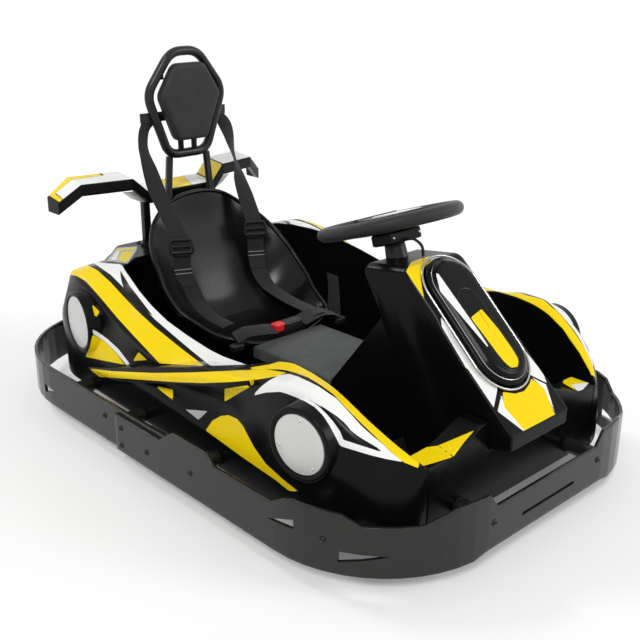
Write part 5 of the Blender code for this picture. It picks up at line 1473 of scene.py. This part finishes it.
# %% Wing
# x, front edge y, top z, depth.
WING = np.array(((0.000, 0.508, 0.566, 0.090), (0.067, 0.508, 0.566, 0.090), (0.113, 0.532, 0.560, 0.085),
                 (0.159, 0.540, 0.604, 0.085), (0.300, 0.583, 0.601, 0.080), (0.359, 0.615, 0.552, 0.060)))
WING_FASCIA, WING_SKIN, WING_EDGE = 0.032, 0.006, 0.002
WING_LIP = (0.024, 0.028)
WING_RISE = (0.010, 0.004)
# Shares of the way from one fold to the next.
WING_SHARES = np.concatenate(((0.0, 0.04), np.linspace(0.12, 0.88, 9), (0.96,)))
FILM_DEPTH = 0.0016
WING_PAINT = (
    ("yellow", ((-0.355, 0.003), (-0.346, 0.003), (-0.343, 0.12), (-0.355, 0.12))),
    ("white", ((-0.346, 0.003), (-0.162, 0.003), (-0.162, 0.12), (-0.205, 0.12), (-0.212, 0.060),
        (-0.343, 0.050))),
    ("yellow", ((-0.343, 0.050), (-0.212, 0.060), (-0.205, 0.12), (-0.343, 0.12))),
    ("white", ((-0.162, 0.003), (-0.109, 0.003), (-0.109, 0.12), (-0.162, 0.12))),
    ("white", ((-0.109, 0.003), (-0.058, 0.003), (-0.038, 0.12), (-0.109, 0.12))),
    ("yellow", ((-0.060, 0.003), (0.020, 0.003), (0.060, 0.12), (-0.040, 0.12))),
    ("white", ((0.020, 0.003), (0.109, 0.003), (0.109, 0.12), (0.060, 0.12))),
    ("yellow", ((0.115, 0.003), (0.157, 0.003), (0.157, 0.12), (0.115, 0.12))),
    ("white", ((0.162, 0.003), (0.346, 0.003), (0.343, 0.12), (0.162, 0.12))),
    ("yellow", ((0.346, 0.003), (0.355, 0.003), (0.355, 0.12), (0.343, 0.12))),
)
# Where the end walls start, and how thick the sheet's end is closed.
WING_END = (0.3525, 0.0040)
# x, y, half width, half depth and top of a post, and the foot's profile.
WING_POST = (0.111, 0.565, 0.0115, 0.0095, 0.557)
POST_FOOT = ((0.0, 0.008), (0.020, 0.008), (0.020, 0.0004), (0.0, 0.0))
# Corners of the grey plate behind the fascia, as x and z on the left.
GREY_PLATE = ((0.1891, 0.5684), (0.1496, 0.5651), (0.1151, 0.5289), (0.1319, 0.5316), (0.1643, 0.5471))
GREY_PLATE_Y = (0.5525, 0.5555)


def wing_rings():
    """Section across the sheet at stations that keep the folds sharp."""
    legs = WING[:-1, None] + np.diff(WING, axis=0)[:, None] * WING_SHARES[:, None]
    half = np.vstack((legs.reshape(-1, 4), WING[-1:]))
    rows = np.vstack((half[:0:-1] * (-1, 1, 1, 1), half))
    x, y, z, depth = rows.T
    lip, fold = WING_LIP
    rise, thin = WING_RISE
    ys = np.stack((y, y + depth, y + depth, y + fold, y + lip, y), 1)
    zs = np.stack((z, z + rise, z + thin, z - WING_SKIN, z - WING_FASCIA, z - WING_FASCIA), 1)
    closed = np.clip((np.abs(x) - WING_END[0]) / WING_END[1], 0, 1)[:, None]
    zs[:, 2:4] += (z[:, None] - WING_FASCIA - zs[:, 2:4]) * closed
    return np.stack((np.broadcast_to(x[:, None], ys.shape), ys, zs), 2)


wing = skin("wing_sheet", refine(soften(wing_rings(), WING_EDGE, 3), 0.006), painted, angle=30)
places = read_points(wing)
front_edge, top_z, depth = (np.interp(np.abs(places[:, 0]), WING[:, 0], column) for column in WING[:, 1:].T)
behind = places[:, 1] - front_edge
on_top = places[:, 2] - (top_z + WING_RISE[0] * behind / depth) + FILM_DEPTH
store_films(wing, WING_PAINT, np.stack((places[:, 0], behind), 1), allowed=on_top)
on_kart(wing)
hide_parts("wing")
for side, word in SIDES:
    x, y, wide, deep, top = WING_POST
    low, high = (side * x - wide, y - deep, DECK_SHELF + 0.004), (side * x + wide, y + deep, top)
    plates = [np.array([(side * bx, by, bz) for bx, bz in GREY_PLATE]) for by in GREY_PLATE_Y]
    on_kart(turned("wing_post_" + word, POST_FOOT, (side * x, y, DECK_SHELF), UPRIGHT, steel, 40),
            rounded_block("wing_stem_" + word, low, high, 0.002, steel),
            prism("wing_grey_plate_" + word, *plates, cover_grey))
print(wing.name, "faces:", len(wing.data.polygons))

# %% [markdown]
# ## Steering wheel and column
# The rim is a thick grip, a little flattened, carried round a circle. Three broad
# spokes run to a hub, and over them lies a raised plate with a white panel and a lip
# along its rear edge. The wheel is drawn flat first, then laid on the leaning column,
# because its shapes are simple on its own axes.

# %% Steering wheel
WHEEL_CENTRE = np.array((0.0, -0.296, 0.616))
COLUMN_TILT = math.radians(18.2)
COLUMN_UP = np.array((0.0, math.sin(COLUMN_TILT), math.cos(COLUMN_TILT)))
COLUMN_BACK = np.array((0.0, math.cos(COLUMN_TILT), -math.sin(COLUMN_TILT)))
RIM_RADIUS, TUBE_RADIUS, TUBE_FLATNESS = 0.1565, 0.0170, 0.96
RIM_STEPS, TUBE_SIDES = 160, 24
GRIP_BUMPS, BUMP_HEIGHT = 44, 0.0007
SPOKE_TURNS = (0.0, math.pi, math.pi / 2)
# Where a spoke starts and how far short of the rim it ends, its half width and how much wider its
# ends are, its lower and upper side, and how far it rises to the rim.
SPOKE_START, SPOKE_SHORT = 0.030, 0.008
SPOKE_HALF, SPOKE_WIDER = 0.0145, 0.0075
SPOKE_LOW, SPOKE_TOP, SPOKE_RISE = -0.0225, -0.0115, 0.010
# Radius and height.
HUB_PROFILE = ((0.0, -0.0222), (0.043, -0.0222), (0.045, -0.0200), (0.045, -0.016), (0.042, -0.0125),
               (0.030, -0.0115), (0.0, -0.011))
# Lowest and highest corner, rounding and finish of the blocks on the wheel.
WHEEL_BLOCKS = {
    "wheel_plate": ((-0.072, -0.050, -0.012), (0.072, 0.050, 0.0165), 0.004, glossy_black),
    "wheel_panel": ((-0.022, -0.046, 0.0155), (0.064, 0.034, 0.0180), 0.0008, panel_white),
    "wheel_lip": ((-0.070, 0.036, 0.0125), (0.070, 0.049, 0.0205), 0.0020, glossy_black),
}


def on_wheel(points):
    """Points drawn on the flat wheel, with x to the left side, y backwards and z up the column."""
    points = np.asarray(points, float)
    return WHEEL_CENTRE + points @ np.stack((np.array((1.0, 0.0, 0.0)), COLUMN_BACK, COLUMN_UP))


def grip_rings():
    """Circle carried round a circle, with finger bumps on the inside of the rim."""
    turn = np.linspace(0, 2 * math.pi, RIM_STEPS, endpoint=False)[:, None]
    around = np.linspace(0, 2 * math.pi, TUBE_SIDES, endpoint=False)[None]
    bumps = BUMP_HEIGHT * np.cos(GRIP_BUMPS * turn) * np.clip(-np.cos(around), 0, 1)
    reach = RIM_RADIUS + (TUBE_RADIUS + bumps) * np.cos(around)
    high = np.broadcast_to(TUBE_RADIUS * TUBE_FLATNESS * np.sin(around), reach.shape)
    return np.stack((reach * np.cos(turn), reach * np.sin(turn), high), 2)


def spoke_rings(turn):
    """Flat bar with rounded edges from the hub to the rim, wider at both ends, then turned."""
    t = np.linspace(0, 1, 16)[:, None]
    half = SPOKE_HALF + SPOKE_WIDER * (2 * t - 1) ** 2
    across = half * np.array((-1, 1, 1, -1))
    reach = np.broadcast_to(SPOKE_START + t * (RIM_RADIUS - SPOKE_SHORT - SPOKE_START), across.shape)
    high = np.array((SPOKE_LOW, SPOKE_LOW, SPOKE_TOP, SPOKE_TOP)) + SPOKE_RISE * t**3
    x, y, z = soften(np.stack((reach, across, high), 2), 0.004, 4).transpose(2, 0, 1)
    return np.stack((x * math.cos(turn) - y * math.sin(turn), x * math.sin(turn) + y * math.cos(turn), z), 2)


def wheel_block(name, low, high, rounding, material):
    """Rounded block drawn upright, then laid on the wheel's axes."""
    made = rounded_block(name, low, high, rounding, material)
    write_points(made, on_wheel(read_points(made)))
    return made


grip = skin("wheel_grip", on_wheel(grip_rings()), rubber, looped=True)
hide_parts("steering_wheel")
hub = turned("wheel_hub", HUB_PROFILE, WHEEL_CENTRE, COLUMN_UP, glossy_black)
spokes = [skin(f"wheel_spoke_{k}", on_wheel(spoke_rings(turn)), glossy_black)
          for k, turn in enumerate(SPOKE_TURNS)]
blocks = [wheel_block(name, *sizes) for name, sizes in WHEEL_BLOCKS.items()]
for piece in (grip, hub, *spokes, *blocks):
    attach(piece, "steering")
print("wheel across:", round(2 * (RIM_RADIUS + TUBE_RADIUS), 3), "m")

# %% [markdown]
# Below the wheel sit a box for the switches and a turned cover round the column. A
# short cable leaves the box's front and goes down into the cover. It is a tube along
# the same points as the CAD's cable, so that its length and its ends agree.

# %% Switch box, column and cable
SWITCH_CASE = ((-0.045, -0.031, -0.052), (0.067, 0.031, -0.0238))
SWITCH_SCREWS = ((-0.030, -0.0313, -0.038), (0.058, -0.0313, -0.038))
# Radius and height along the column, from the wheel's centre.
COLUMN_PROFILE = ((0.0, -0.110), (0.0282, -0.110), (0.0280, -0.104), (0.0242, -0.053), (0.0225, -0.0495),
                  (0.0, -0.0495))
CABLE_RADIUS = 0.0035
# From the wheel's centre.
CABLE_POINTS = np.array(((0.012, -0.0462, -0.0353), (0.014, -0.0600, -0.0320), (0.016, -0.0760, -0.0370),
                         (0.018, -0.0870, -0.0490), (0.018, -0.0900, -0.0678)))
switch = wheel_block("switch_case", *SWITCH_CASE, 0.005, plain_body)
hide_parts("switch_box")
for k, place in enumerate(SWITCH_SCREWS):
    screw(f"switch_screw_{k}", on_wheel(place), -COLUMN_BACK, zinc, 0.0034)
route = flowing(WHEEL_CENTRE + CABLE_POINTS, 10)
lead = pipe("switch_lead", route, CABLE_RADIUS, rubber, 14)
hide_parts("switch_cable")
column = turned("column_cover", COLUMN_PROFILE, WHEEL_CENTRE, COLUMN_UP, steel, 56)
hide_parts("column_housing")
on_kart(switch, lead, column)

# %% [markdown]
# The pedals are CAD copies with rounded edges. What lies low down under the body is
# hardly seen, and its shapes are right in the CAD, so those nodes stay as they are
# and only get their finish.

# %% Pedals and pieces kept from the CAD
for _side, word in SIDES:
    fine_copy("pedal_" + word, steel, 0.0015)
NODE_FINISHES = {
    "battery": battery_finish, "chassis_frame": steel, "seat_mount": steel, "steering_shaft": zinc,
    "hub_motor": zinc, "drive_tyre": rubber, "yoke": steel,
}
for _side, word in SIDES:
    for end in ("front", "rear"):
        NODE_FINISHES[f"caster_fork_{end}_{word}"] = zinc
        NODE_FINISHES[f"caster_wheel_{end}_{word}"] = rubber
for node, finish in NODE_FINISHES.items():
    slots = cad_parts[node].data.materials
    slots.clear()
    slots.append(finish)
print("finished in place:", len(NODE_FINISHES))

# %% [markdown]
# ## Floor
# The kart stands on a plain pale floor that runs out of the picture. The camera and
# the gloss see it nearly white; the lamps still leave the kart's shadow on it.

# %% Floor
FLOOR_SIZE = 90.0
FLOOR_COLOUR = (0.92, 0.92, 0.92)
FLOOR_FILL = (0.14, 0.14, 0.14, 1.0)
floor_finish = Finish("pale floor", FLOOR_COLOUR, 0.85, emission_strength=1.0)
seen = floor_finish.node("ShaderNodeLightPath", output="Is Camera Ray")
for kind in ("Glossy", "Transmission"):
    seen = seen.join("MAXIMUM", seen, floor_finish.node("ShaderNodeLightPath", output=f"Is {kind} Ray"))
floor_finish.give(emission_color=floor_finish.mix(seen, (0.0, 0.0, 0.0, 1.0), FLOOR_FILL))
corners = np.array(((-1, -1, 0), (1, -1, 0), (1, 1, 0), (-1, 1, 0)), float) * FLOOR_SIZE / 2
floor = as_piece("floor", corners, [[0, 1, 2, 3]], floor_finish.material)
